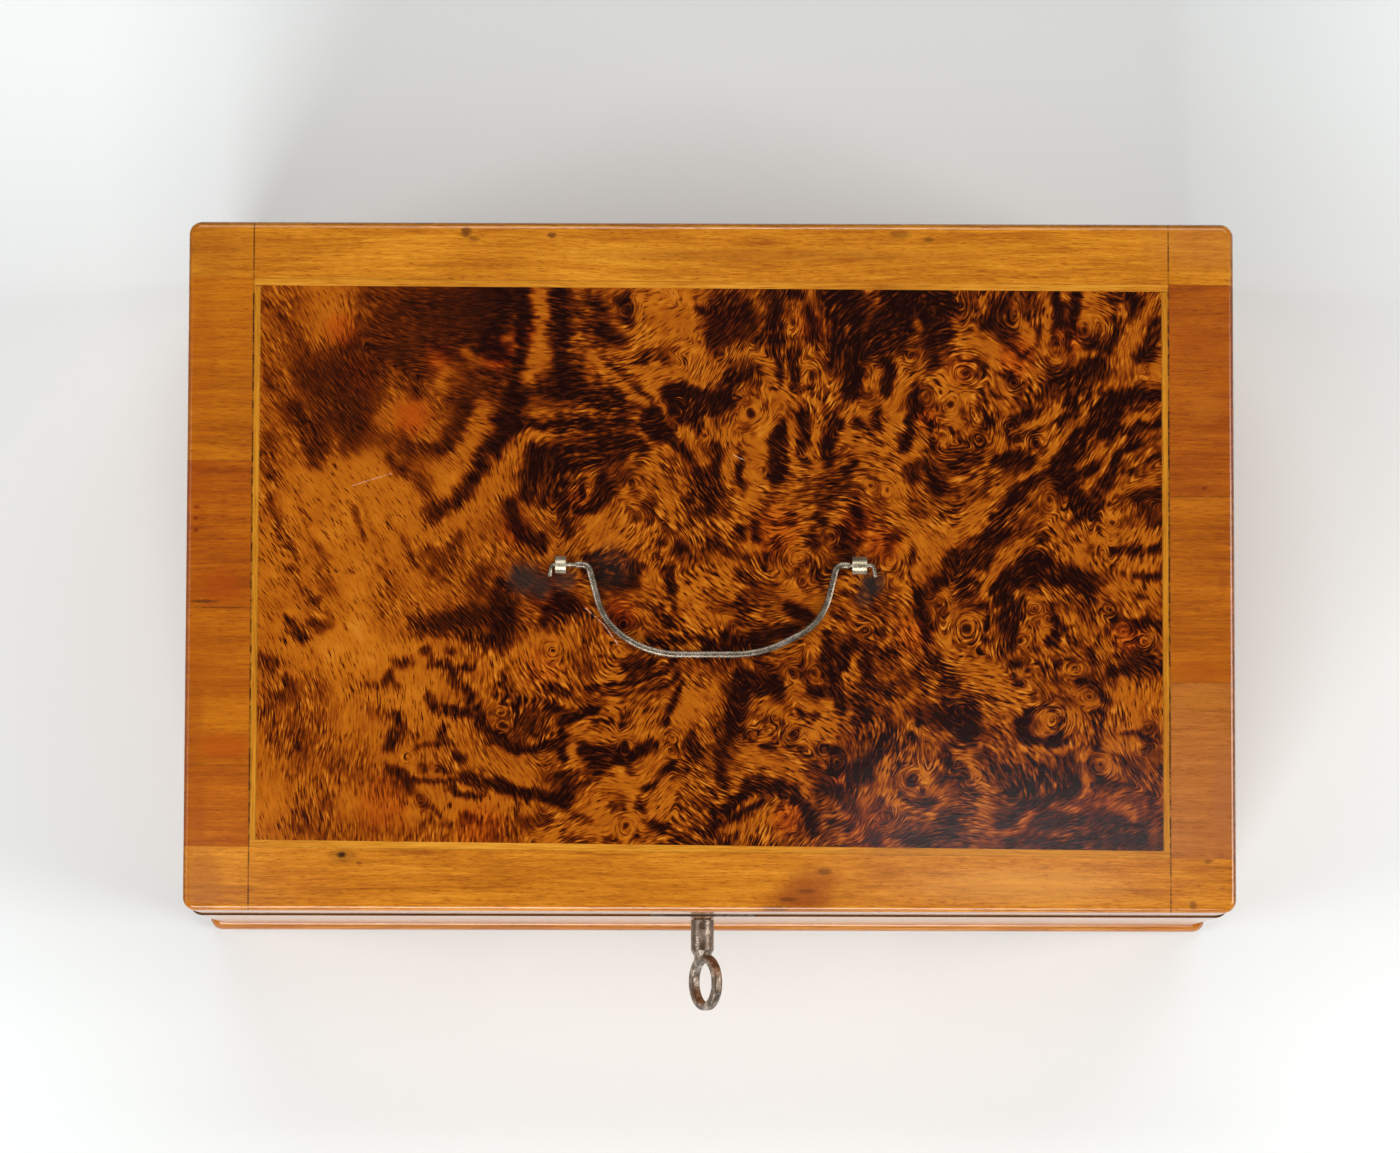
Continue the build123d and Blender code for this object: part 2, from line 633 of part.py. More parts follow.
# ---------------------------------------------------------------- build
def main():
    os.makedirs("parts", exist_ok=True)
    hinges = {"left": -hinge_offset, "right": hinge_offset}

    # The body: four mitred walls on a bottom board.
    ring = rounded_block(body_length, body_width, (bottom_thickness, body_top))
    inside = (body_length - 2 * wall_thickness, body_width - 2 * wall_thickness)
    ring -= block(span(0, inside[0]), span(0, inside[1]), (bottom_thickness, body_top))
    ring -= hinge_wedge(body_top, -1)
    walls = mitred_sides(ring, body_length, body_width)
    for middle in hinges.values():
        walls["back"] -= hinge_recess(middle) + leaf_recess(middle, body_leaf_z)
        for tool in body_hinge_screws(middle, slotted=False):
            walls["back"] -= tool
    selvedge_z = (selvedge_bottom, body_top)
    walls["front"] -= block(span(lock_x, plate_width), (plate_front, plate_back), plate_z)
    walls["front"] -= block(span(lock_x, selvedge_width), (body_front, plate_back), selvedge_z)
    walls["front"] -= block(span(lock_x, cap_width), (cap_front, plate_front), (cap_z[0], body_top))
    walls["front"] -= keyhole((body_front, cap_front), 2 * moving_clearance)
    for tool in lock_screws(slotted=False):
        walls["front"] -= tool
    bottom = make_bottom()
    nails = [nail(x, y) for x, y in nail_places()]
    for tool in nails:
        bottom -= tool
        walls = {side: wall - tool for side, wall in walls.items()}
    save("bottom_board", bottom)
    save("bottom_nails", placed(nails))
    for side, wall in walls.items():
        save("body_" + side, wall)

    # The lid: mitred rails under a board that carries the veneers, all with one rounded top edge.
    lid = rounded_block(lid_length, lid_width, (lid_bottom, overall_height))
    lid = fillet(lid.edges().group_by(Axis.Z)[-1], lid_arris_radius)
    lid -= hinge_wedge(lid_bottom, 1)
    legs = staple_legs(staple_x_left, staple_width_left, (lid_board_bottom, overall_height))
    legs += staple_legs(staple_x_right, staple_width_right, (lid_board_bottom, overall_height))
    everywhere = (span(0, far), span(0, far))
    board = lid & block(*everywhere, (lid_board_bottom, veneer_bottom))
    save("lid_board", board - legs)
    rails = lid & block(*everywhere, (lid_bottom, lid_board_bottom))
    hollow = (lid_length - 2 * wall_thickness, lid_width - 2 * wall_thickness)
    rails -= block(span(0, hollow[0]), span(0, hollow[1]), (lid_bottom, lid_board_bottom))
    rails = mitred_sides(rails, lid_length, lid_width)
    for middle in hinges.values():
        rails["back"] -= hinge_recess(middle) + leaf_recess(middle, lid_leaf_z)
        for tool in lid_hinge_screws(middle, slotted=False):
            rails["back"] -= tool
    link_y = (plate_back - link_plate_width, plate_back)
    link_z = (lid_bottom, lid_bottom + plate_thickness)
    rails["front"] -= block(span(lock_x, link_plate_length), link_y, link_z)
    for tool in link_screws(slotted=False):
        rails["front"] -= tool
    for side, rail in rails.items():
        save("lid_rail_" + side, rail)
    for node, outline in veneer_outlines().items():
        piece = lid & prism(outline, (veneer_bottom, overall_height))
        if node == "burl_panel":
            piece -= legs
        save(node, piece)

    # Two butt hinges.
    for side, middle in hinges.items():
        body_holes = body_hinge_screws(middle, slotted=False)
        lid_holes = lid_hinge_screws(middle, slotted=False)
        save(f"hinge_{side}_body_leaf", make_leaf(middle, 0, body_leaf_z, body_holes))
        save(f"hinge_{side}_lid_leaf", make_leaf(middle, 1, lid_leaf_z, lid_holes))
        save(f"hinge_{side}_pin", rod_x(span(middle, hinge_length), hinge_y, hinge_z, hinge_pin_radius))
    left, right = hinges.values()
    save("hinge_screws_body", placed(body_hinge_screws(left) + body_hinge_screws(right)))
    save("hinge_screws_lid", placed(lid_hinge_screws(left) + lid_hinge_screws(right)))

    # The lock, its link plate and the key.
    save("lock_plate", make_main_plate())
    save("lock_cap", make_cap())
    save("lock_bolt", make_bolt())
    save("lock_bolt_guides", make_guides())
    save("lock_post", rod_y(lock_x, key_height, (cap_front, plate_back), post_radius))
    save("lock_spring", make_spring())
    save("lock_screws", placed(lock_screws()))
    save("link_plate", make_link_plate())
    save("link_screws", placed(link_screws()))
    save("key", make_key())

    # The bail handle and the staples it swings in.
    save("bail_handle", make_bail())
    save("bail_staple_left", make_staple(staple_x_left, staple_width_left))
    save("bail_staple_right", make_staple(staple_x_right, staple_width_right))


main()
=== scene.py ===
import math
import bmesh
import bpy
import numpy as np
from mathutils import Matrix, Vector


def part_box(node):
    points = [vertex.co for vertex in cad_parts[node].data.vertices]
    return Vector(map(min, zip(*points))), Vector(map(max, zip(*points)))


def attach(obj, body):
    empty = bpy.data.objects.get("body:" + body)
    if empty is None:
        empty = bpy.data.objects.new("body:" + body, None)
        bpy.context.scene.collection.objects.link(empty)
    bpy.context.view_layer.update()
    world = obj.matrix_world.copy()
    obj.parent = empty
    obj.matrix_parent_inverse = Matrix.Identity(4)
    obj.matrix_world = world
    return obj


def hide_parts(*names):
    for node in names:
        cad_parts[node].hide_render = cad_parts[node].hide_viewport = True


# Looks of the ditty box. Lists and patterns are in millimetres of the shared frame: x to the right, y to
# the back and z up from the middle of the box's foot. Lights and the floor are in metres.

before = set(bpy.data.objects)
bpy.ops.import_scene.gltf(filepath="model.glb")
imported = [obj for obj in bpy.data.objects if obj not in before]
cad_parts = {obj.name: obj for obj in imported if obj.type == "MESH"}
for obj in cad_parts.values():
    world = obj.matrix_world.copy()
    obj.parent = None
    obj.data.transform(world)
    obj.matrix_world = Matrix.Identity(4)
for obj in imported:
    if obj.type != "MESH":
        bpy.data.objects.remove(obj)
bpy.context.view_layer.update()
mm = 0.001

# ---------------------------------------------------------------- camera, light and floor
camera_sensor = 36              # millimetres, like the lens
camera_lens = 147.4
camera_distance = 1756.2 * mm
camera_tilt = math.radians(4.83)
camera_pan = math.radians(-0.166)
camera_roll = math.radians(0.166)
camera_target = Vector((-3.2 * mm, -3.44 * mm, 144 * mm))
floor_half = 3.0
floor_colour = (0.835, 0.88, 0.89)
floor_clouds = 1.02             # how much brighter the floor's clouds are
world_colour = (0.8, 0.8, 0.8)
world_strength = 0.025
light_aim = (0, 0, 0.1)

# Soft lights: place, size, power, colour and, where it isn't light_aim, what the light points at.
soft_lights = {
    "front_softbox": ((-0.5, -2.4, 1.9), (1.8, 1.2), 63, (1, 1, 0.99)),
    "left_softbox": ((-2.5, -0.3, 1.9), (1.4, 1.6), 34.5, (1, 1, 1)),
    "right_softbox": ((2.5, -0.3, 1.9), (1.4, 1.6), 49, (1, 0.98, 0.95)),
    "back_softbox": ((0.2, 1.7, 2.6), (2.4, 1.4), 29.5, (1, 0.98, 0.965)),
    "top_glow": ((0, 0.9, 2.2), (0.4, 0.1), 1.6, (1, 1, 0.98)),
    "right_glow": ((0.22, -0.01, 2.2), (0.24, 0.05), 0.08, (0.92, 0.96, 1), (0.22, -0.01, 0)),
    "left_glow": ((-0.36, -0.1, 2.2), (0.12, 0.12), 0.1, (1, 0.95, 0.93), (-0.36, -0.1, 0)),
}

# ---------------------------------------------------------------- burl figure
burl_cell = 0.72                # spacing of the burl panel's mesh
panel_fade = 30.0               # how far in from the panel's front and back its mesh lines bend to the edge
figure_cell = 0.4               # spacing of the grid the figure is worked out on
figure_shift = (0.2, -1.6)      # the figure's lists against the lid's middle
burl_depth = 0.13               # darkening of the whole figure
hair_contrast = 1.5
lattice_size = 64               # steps after which the noise repeats
fibre_spread = 5.5              # how far one fibre direction reaches
heading_reach = 9.0             # how near two fibre directions are taken as neighbours
heading_rounds = 8
thin_stroke = 2.5               # strokes of less than this half-width are drawn out less along the fibres
ring_spacing = 1.5              # between the rings of an eye
ring_wobble = 0.45              # how far an eye's rings are out of round
pupil_shade = 0.9
deepest_shade = 0.86            # shade of the dark figure
deepest_left = 0.16             # how much less that is at the far left
pale_shade = 0.14               # shade of the pale wood
pale_cover = 0.9                # how far the pale wood covers what is under it

# Dark figure: strength, half-width, soft edge, then x and y of each point of the line it follows.
burl_dark = [
    # back left
    (0.5, 11, 7, -112, 60, -100, 68, -84, 76, -70, 80), (0.4, 1, 1.5, -108, 84, -92, 85, -76, 84),
    (0.55, 3, 3, -100, 79, -88, 80, -74, 82), (0.95, 4.5, 2.5, -65, 88, -65, 80, -66, 73, -68, 67),
    (0.97, 2.4, 1.2, -58.5, 88, -57.3, 78, -57, 70, -58.5, 62), (0.9, 2.2, 2, -60, 62, -61, 56, -61, 50),
    (0.98, 4.2, 1.8, -60, 50, -62.5, 46, -63, 42, -66, 38),
    (0.98, 3.2, 1.6, -66, 38, -70, 33, -73, 27, -76, 23), (0.85, 2.8, 1.8, -76, 23, -80, 19, -86, 16.5),
    (0.97, 0.7, 0.5, -80, 67, -77, 65.3, -72, 65, -66, 65.7, -60, 65.3),
    (0.75, 2.5, 2, -88, 66, -90, 60, -91, 54), (0.7, 2.2, 2.5, -102, 70, -96, 67, -92, 60),
    (0.6, 7, 5, -118, 58, -110, 50, -106, 44), (0.75, 4, 3.5, -112, 48, -109, 43, -112, 39),
    (0.85, 2.8, 2, -122, 43, -120, 37, -121, 33), (0.8, 3, 2.4, -129, 49, -125, 43, -123, 38),
    (0.6, 1.6, 1.4, -136, 58, -130, 51, -126, 46), (0.55, 3, 3, -127, 62, -122, 54, -120, 46),
    (0.55, 2.5, 3, -118, 68, -110, 69, -104, 66), (0.45, 2, 2, -136, 82, -130, 74, -126, 66, -123, 60),
    (0.75, 3, 2.4, -92, 38.5, -86, 37, -81, 36), (0.85, 2.8, 2.2, -76, 52, -77, 46, -80, 41, -83, 37.5),
    (0.45, 4, 4, -72, 58, -66, 52, -66, 60), (0.7, 1.8, 1.4, -99, 34, -97, 31, -95.5, 29.5),
    (0.6, 1.3, 1.2, -94, 32, -92, 29, -90, 26.5), (0.45, 3, 3, -98, 40, -92, 33, -88, 28),
    (0.65, 2, 1.8, -88, 25, -85, 22, -86, 18), (0.9, 0.9, 0.6, -110, 20, -108, 15, -105.8, 9.5),
    (0.6, 0.5, 0.5, -108, 22, -104, 14, -101, 8, -99, 2), (0.6, 0.6, 0.6, -99, 16, -96, 11, -92, 5),
    (0.75, 1.1, 0.8, -95, 9.5, -92.5, 5, -90.5, 1), (0.55, 0.6, 0.6, -102, 2, -99, -4, -95, -9),
    (0.75, 2, 1.5, -77, 11, -78.5, 6, -77, 2), (0.5, 3, 2.5, -86, 5, -82, 2, -84, -2),
    (0.55, 2, 2, -73, 3, -70, 0, -72, -6), (0.75, 0.7, 0.5, -131, 12, -129.5, 8, -127, 3),
    (0.6, 0.7, 0.6, -125, 18, -123.5, 14), (0.55, 1.5, 1.5, -136, 22, -133, 15, -131, 7),
    (0.5, 1.2, 1, -122, 8, -118, 3, -120, -1), (0.5, 2.5, 2, -135, 41, -137, 34, -135, 30),
    (0.9, 3.2, 1.8, -47, 88, -47, 76, -46, 66, -46, 60), (0.7, 2.6, 1.8, -58, 56, -50, 56, -45, 54),
    (0.92, 1.3, 0.9, -59, 45.5, -52, 44.2, -46, 45), (0.92, 2.8, 1.6, -53, 37, -54.5, 30, -57, 23),
    (0.75, 3.2, 2, -49, 36, -48, 28, -50, 22), (0.88, 2.2, 1.2, -62, 20, -60, 14, -57, 10, -52, 8),
    (0.8, 1.8, 1.2, -57, 16, -53, 12),
    # front left
    (0.97, 2, 1, -121.5, -9), (0.97, 2, 1.2, -129, -16, -126, -19.5, -124.5, -20.5),
    (0.85, 1.5, 1.2, -123, -16.5, -119, -17.5), (0.5, 2, 1.8, -118.5, -3, -116, -6),
    (0.55, 0.5, 0.5, -129, 1, -126, -5, -123, -10), (0.5, 1, 1, -118, -13, -116, -17),
    (0.75, 2.6, 1.8, -138, -28, -135, -30), (0.75, 1.2, 1, -130, -33, -128, -37),
    (0.45, 3, 3, -134, -39, -131, -42, -137, -45), (0.35, 4, 3.5, -127, -40, -125, -47, -127, -55),
    (0.8, 1.2, 1, -126.5, -51, -125.5, -55), (0.3, 3, 3, -119, -36, -117, -42, -121, -46),
    (0.45, 2, 2, -134, -50, -133, -56), (0.4, 2.2, 2.5, -125, -69, -122, -75, -124, -80),
    (0.45, 2.2, 2, -118, -67, -117, -72), (0.28, 5, 4, -128, -79, -112, -80, -98, -82, -84, -83, -60, -84),
    (0.3, 4.5, 4, -113, -58, -106, -64, -98, -67), (0.97, 3.6, 1.8, -88, -17, -82, -16.8, -76, -15.5),
    (0.93, 4.6, 2.6, -76, -15, -70, -14.5, -64, -14), (0.85, 3.2, 2.5, -65, -8, -64.5, -14, -65, -21),
    (0.6, 3, 2.5, -72, -21, -66, -22, -60, -18), (0.6, 2.5, 2, -61, -11, -57, -15),
    (0.97, 1.4, 0.7, -87, -25), (0.97, 1.5, 0.7, -79, -25),
    (0.85, 0.9, 0.8, -85, -27, -86.5, -29.5, -83, -29),
    (0.97, 1.6, 0.8, -80, -29.5, -78.3, -31.5, -78.3, -34.5, -74.5, -36),
    (0.85, 0.9, 0.7, -77, -30.8, -73.5, -30), (0.85, 1.7, 1.2, -95.5, -29, -92.5, -28),
    (0.92, 1.2, 0.8, -98, -31.5, -99.5, -34.5), (0.5, 1.3, 1.4, -107, -35.5, -100, -36),
    (0.85, 0.9, 0.8, -96, -36, -97.5, -34), (0.97, 1.6, 0.7, -86, -39, -84, -43, -78, -44, -72, -43.5),
    (0.97, 1.9, 0.8, -72, -43.5, -70, -47.5, -66, -51.5, -60, -54.3),
    (0.97, 1.5, 0.8, -60, -54.3, -53, -54.8, -45, -53), (0.9, 1.1, 0.8, -73, -38.5, -73.7, -41),
    (0.97, 1.7, 0.8, -95.8, -45, -94.8, -48), (0.95, 1.9, 0.9, -97, -50, -98.8, -54.5),
    (0.5, 2, 1.8, -104, -43, -99, -44.5), (0.5, 1.4, 1.4, -94, -50, -90, -51),
    (0.92, 0.8, 0.6, -90, -54.5, -86.5, -53, -82, -53.5),
    (0.97, 1.2, 0.7, -81, -48.5, -82.5, -51, -79.8, -53.8), (0.95, 1.3, 0.8, -78.5, -56.6, -76, -58),
    (0.85, 0.9, 0.7, -88.5, -60, -87.5, -61.5), (0.95, 1.1, 0.7, -83, -61, -80, -62),
    (0.97, 1.6, 1, -98, -61, -94, -62, -91.5, -66, -91, -68), (0.7, 2.2, 1.8, -95, -63, -93, -67),
    (0.92, 0.8, 0.6, -90, -63.8, -85, -65.6, -78, -65),
    (0.98, 1.9, 0.9, -75, -63.5, -68, -65, -60, -67.2, -52, -69.2, -44, -70.5),
    (0.95, 1.2, 0.7, -79, -67.3, -76, -69.3, -71, -69.6), (0.85, 1.3, 0.9, -88, -69.5, -87, -72),
    (0.75, 1.1, 0.8, -84.5, -73, -83, -74.5), (0.75, 1.4, 1, -75, -75.5, -72.5, -76),
    (0.45, 1.2, 1.2, -86, -77, -76, -78, -66, -77.5), (0.6, 2, 2, -56, -76, -50, -77),
    (0.6, 3.2, 2.4, -63, -37, -58, -42), (0.5, 5, 3, -58, -49, -52, -45),
    (0.9, 1.6, 1.2, -50, -36, -44, -37), (0.9, 1.4, 1, -50, -42, -44, -43.5), (0.97, 1.6, 0.7, -51.5, -16),
    (0.92, 2.2, 1.4, -49, -12, -46, -14), (0.7, 1.6, 1.2, -64, -4, -62, -5),
    # middle, behind the handle
    (0.82, 3.6, 2.2, -44, 58, -36, 54, -28, 52), (0.8, 1.9, 1.2, -46, 46, -38, 45.3, -27, 45.5),
    (0.85, 2.6, 1.6, -46, 35, -38, 38, -28, 40, -22, 38), (0.7, 2, 1.5, -46, 31, -36, 34, -28, 35),
    (0.95, 1.5, 0.9, -28, 83, -25, 81, -25.5, 77), (0.85, 2.4, 1.8, -36, 75, -31, 71, -27, 70.5),
    (0.6, 2, 1.5, -38, 83, -33, 80), (0.6, 2, 1.5, -22, 67, -21, 65), (0.5, 1.5, 1, -16, 67, -13, 64),
    (0.95, 1.2, 0.7, -4, 80.6, -2.5, 79.5), (0.85, 4.6, 2.5, 3, 82, 7, 82, 9, 78, 5, 74, 1, 72),
    (0.75, 3, 2.5, 0, 74, 3, 78), (0.85, 2, 1.2, 13, 74, 15, 71, 19, 72),
    (0.95, 1.8, 1.2, 19, 88, 20, 80, 18, 76), (0.95, 1.8, 0.9, 20.5, 76, 20.5, 71, 18.5, 67),
    (0.92, 1.5, 1, 24, 86.5, 28, 85.5), (0.85, 1.6, 1.2, 30, 80, 31.5, 75, 31, 71),
    (0.97, 1.9, 1.2, 35, 84, 38, 77, 38, 70, 37, 64), (0.97, 3.6, 1.6, 36, 86, 42, 84, 44, 78),
    (1, 3.8, 1.4, -12, 54.5, -6, 53.5, -1, 51.5), (0.98, 2.8, 1.4, -11, 50, -7, 48, 2, 51, 5, 52),
    (0.97, 2.2, 1.3, 4, 55, 7, 60, 13, 61.5), (0.9, 1.6, 1.2, -4, 48, -5, 44),
    (0.98, 1.3, 0.7, -24, 57, -21.5, 55.5, -19.5, 53.5), (0.85, 1.6, 1, -20, 52, -18.5, 48),
    (1, 3.5, 1.2, -18.5, 46.5, -15.5, 42.5), (0.97, 1.9, 1.2, -13, 42, -9, 38, -6, 35),
    (0.98, 1.6, 0.9, 7.5, 38, 8, 33, 8.8, 27), (0.9, 1.8, 1.2, 1, 37, 1.3, 30, 3, 22),
    (0.92, 2.3, 1.3, -5, 30, -2.5, 25, -0.5, 19), (0.98, 2.7, 1.1, 21.5, 44, 21, 37, 20.5, 29),
    (0.93, 2, 1.1, 28, 48, 28.5, 42, 27, 35), (0.98, 2.3, 1.1, 37, 48, 38.5, 44, 36.5, 39, 35.5, 34),
    (0.98, 1.5, 0.8, 24.5, 67, 25.5, 61, 25, 56.5), (0.9, 0.9, 0.7, 20.8, 64, 20.8, 57),
    (1, 3.2, 1.3, 41, 70, 45, 66, 43, 62), (1, 2.6, 1.2, 43, 62, 43, 55), (0.92, 1.7, 1, 43.5, 33, 42, 30),
    (0.85, 1.4, 1, 44.5, 46, 45.5, 44.5), (0.75, 1, 0.8, 29, 51, 28, 47),
    (0.95, 2.2, 1.1, -33.5, 28, -33, 24, -36, 20), (0.92, 1.5, 1, -36, 19.5, -41, 19),
    (0.95, 0.9, 0.5, -39, 27, -38.6, 23), (0.8, 2, 1.5, -46, 26, -45, 18, -44, 12),
    (0.98, 1.3, 0.7, -14.2, 15, -13.7, 12.5), (0.97, 1.4, 0.8, -15, 8), (0.85, 1.2, 0.9, -10, 9),
    (0.6, 1.8, 1.4, -19, 20, -18, 16), (0.92, 1.4, 0.8, -38, 4, -32, 5.5, -26, 4, -21, 0.5),
    (0.62, 4.5, 3, -33, 0, -26, -1), (0.9, 1.3, 1, 4.5, 18, 5, 16), (0.85, 1.4, 1, 8.5, 13, 9.5, 10.5),
    (0.9, 1.4, 1, 13.5, 14, 14.5, 10), (0.7, 1.9, 1.4, 3, 8, 5, 6), (0.95, 1.6, 0.9, 32.5, 17, 34, 15),
    (0.8, 0.6, 0.6, 19, 15, 23, 13.8, 29, 15.5), (0.85, 1, 0.6, 29.5, 10.5, 32, 8),
    (0.9, 1, 0.6, 17.5, 5, 16.5, 1), (0.7, 0.6, 0.5, 19, 9, 22, 11), (0.9, 1.6, 1, 44.5, 18.5, 45, 16),
    (0.7, 2.2, 1.6, 40, 12, 42, 6, 41, 2), (0.5, 2.5, 2, 36, 27, 42, 24),
    # middle, in front of the handle
    (0.93, 2.8, 1.5, -46, -9, -43, -11), (0.72, 3.5, 2, -31, -2, -26, -4),
    (0.88, 1.4, 1, -14, 0, -12, -6, -11, -12), (0.75, 1.4, 2.2, -27, -16),
    (0.5, 1.6, 1.2, -17, -11, -15, -16), (0.75, 1.8, 1.3, -13.5, -15.5, -12, -17),
    (0.85, 1.7, 1.3, -17, -22, -12, -22.5, -8, -21), (0.8, 1.5, 1.1, 11, -2, 13, -4),
    (0.97, 1.8, 1, 23.5, -11.5, 27, -13, 30, -14), (0.85, 2.4, 1.6, 9, -10, 11, -15),
    (0.97, 2.8, 1.6, 0, -23, 6, -21.5, 12, -22.5), (0.95, 2.3, 1.5, 12, -22, 18, -19.5, 24, -18),
    (0.6, 2.5, 2, -3, -27, 6, -28), (0.98, 1.5, 0.8, -27, -29, -22, -29.2, -17.5, -28),
    (0.98, 0.8, 0.5, -38, -36.3, -28, -34.8, -20, -33.6, -14, -31, -10.5, -27),
    (0.85, 0.6, 0.5, -34, -38, -24, -37.2, -14, -36, -9.5, -31.5),
    (0.8, 0.5, 0.4, -26, -32.3, -17, -31, -12, -27.5), (0.7, 0.5, 0.4, -34, -26, -28, -27.2, -22, -26.5),
    (0.97, 1.5, 0.8, -46, -47, -41, -44.5, -35.5, -42.5), (1, 2.7, 1, -38, -56, -32, -57.5, -25, -57),
    (0.97, 1.7, 0.9, -25, -56.5, -21, -55, -18.5, -53.5), (0.97, 1.4, 0.7, -26, -53.7),
    (0.9, 2.4, 1.5, -37, -60, -34, -61), (0.85, 2.8, 1.8, -46, -63, -42, -66, -45, -70),
    (0.85, 1.3, 0.9, -46, -50, -45.5, -58), (0.97, 0.9, 0.5, -9, -34, -11, -38, -12, -42, -13.5, -47),
    (0.9, 2, 1.2, -6, -48, -6.8, -52, -4.5, -56), (0.7, 1.3, 1, -25, -45, -27, -48),
    (0.97, 1.4, 0.8, -12, -60, -16, -63, -19, -67), (0.95, 1.5, 0.9, -24.5, -61, -23.5, -62.5),
    (0.9, 1, 0.7, -30.5, -72.5, -29, -73), (0.9, 0.8, 0.6, -26.5, -72.5),
    (0.92, 1.5, 0.9, -22, -72.6, -21, -73.3), (0.95, 1.6, 0.9, -17.5, -77, -15.5, -79.5),
    (0.85, 1.1, 0.8, -20.5, -77), (0.92, 1.6, 1, -9, -81.5, -7.5, -82.5),
    (0.85, 1.4, 1, -32, -82, -29, -82.5), (0.85, 1.3, 1, -22.5, -81.5),
    (0.85, 1, 0.8, -15, -84, -11, -83.8), (0.55, 1.1, 1, -42, -75, -37, -77),
    (0.5, 1.2, 1, -45, -82, -38, -83), (1, 3.4, 1.4, 9, -34, 15, -34.5, 19.5, -36),
    (0.95, 3.6, 1.8, 9, -37, 7, -42, 6.5, -47), (0.85, 2.2, 1.6, 6, -50, 4, -55, 2.5, -59),
    (0.85, 1.7, 1.3, 3, -62, 4, -66), (0.95, 1.4, 0.9, 11.5, -50, 13.5, -50),
    (0.92, 1.3, 0.9, 16, -54, 18.5, -53.5), (0.8, 1.3, 0.9, 27.5, -43, 31, -44.5, 30, -47),
    (0.95, 1.4, 0.8, 30, -37, 33.5, -38, 33, -36),
    (0.97, 1.9, 1, 36, -20, 36, -26, 37, -32, 38.5, -38, 40, -42),
    (0.98, 2.2, 1.1, 37, -27, 41, -27.5, 43, -23), (0.85, 1.8, 1.4, 33, -55, 36, -54, 39, -55),
    (0.85, 1.9, 1.4, 32, -60, 36, -63, 41, -61), (0.9, 2, 1.4, 33, -67, 40, -68, 44, -65, 45, -60),
    (1, 1.9, 0.8, -1, -81, 3, -75.5, 8, -69.5, 13, -66), (1, 2.5, 0.8, 13, -66, 19, -66.5, 25, -69),
    (1, 2.4, 0.9, 25, -69, 29, -72.5, 32, -78), (0.97, 0.9, 0.6, 6, -76.5, 11, -73, 16, -71.5),
    (0.8, 0.9, 0.8, -2, -84.2, 6, -84), (0.5, 2, 1.5, 14, -82, 18, -84),
    # back right
    (1, 3, 1.4, 55, 85, 63, 85, 71, 85), (1, 2.6, 1.2, 71, 84, 71, 77, 71, 71),
    (0.95, 3.6, 1.6, 60, 82, 54, 78, 49, 72), (0.85, 4.5, 2.5, 58, 78, 64, 78, 69, 73),
    (0.95, 2.4, 1.4, 48, 69, 53, 66, 55, 61, 53.5, 56), (0.8, 3, 2, 54, 70, 58, 71),
    (0.8, 2.5, 2, 67, 69, 68, 64), (0.98, 1.7, 0.9, 63, 56, 62, 50, 60.5, 44, 59, 38),
    (0.85, 1.5, 1, 51, 49, 50, 45), (0.95, 1.3, 0.9, 86, 78, 84.5, 76),
    (0.65, 2.5, 2, 88, 84, 88, 78, 90, 73), (0.55, 3, 2, 99, 84, 99, 78),
    (0.97, 1.4, 0.8, 106.5, 86, 107, 80, 106.5, 76), (0.97, 1.5, 0.9, 113, 86, 111.5, 80, 110, 74, 110, 69),
    (0.9, 1.4, 0.8, 101.5, 75, 101, 70), (0.9, 1.6, 1.1, 124, 78, 124, 73, 122, 70),
    (0.85, 2.4, 1.6, 125, 84, 130, 84), (0.9, 2.6, 1.6, 136, 77, 135, 70, 132, 66),
    (0.9, 0.9, 0.6, 84, 63, 83, 62), (0.9, 0.9, 0.6, 91, 61.5, 90.5, 60),
    (0.95, 0.5, 0.4, 97.3, 60, 98.3, 56, 98, 51),
    (0.92, 0.4, 0.4, 86, 76, 89, 71.5, 94, 67.5, 96.5, 66, 97.5, 68),
    (0.97, 1, 0.6, 67, 45.5, 66.8, 41, 68, 38.5), (0.97, 1, 0.6, 67, 45.5, 71, 46, 73.5, 44.5),
    (0.95, 1, 0.6, 74, 43.2, 75.5, 43), (0.97, 1.6, 0.9, 98, 48, 95, 48, 92.5, 46),
    (0.8, 1.5, 1, 91, 44, 92, 40), (0.8, 1.6, 1.2, 90, 61, 94, 57, 95, 52),
    (0.85, 2.2, 1.4, 88, 34.5, 94, 35, 98, 33), (0.97, 2, 1.1, 70.5, 26, 67.5, 27.5),
    (0.75, 1.8, 1.3, 65, 33, 60, 32, 62, 29), (0.6, 2.5, 2, 74, 33, 78, 36), (0.97, 0.9, 0.5, 78, 31),
    (0.8, 2, 1.3, 86, 47, 83, 43), (0.85, 2.6, 2, 118, 70, 119, 62, 112, 60, 104, 60),
    (0.6, 2.6, 2, 104, 56, 112, 57, 112, 52), (0.98, 2.4, 1.1, 136, 54.5, 130, 55, 124, 53.5, 119, 50),
    (0.98, 3.2, 1.2, 118, 47, 124, 49, 116, 45, 111, 40), (0.95, 2.2, 1.2, 112, 46, 110, 50, 107, 47),
    (0.98, 3, 1.2, 111, 38, 107, 33, 103, 29), (0.98, 2.4, 1.2, 101, 28, 96, 27, 92, 22, 88, 18),
    (0.95, 2.6, 1.6, 88, 17, 88, 12, 84, 9), (0.96, 2, 1.1, 112, 36, 116, 33, 117, 30),
    (0.95, 1.8, 1, 120, 42, 126, 44, 132, 46, 137, 46), (0.97, 1.8, 0.9, 123, 36, 127, 38, 131, 40),
    (0.95, 1.5, 0.9, 125, 34.5, 122, 31, 120, 28), (0.97, 1.3, 0.8, 127, 31, 133, 34.5, 137, 36),
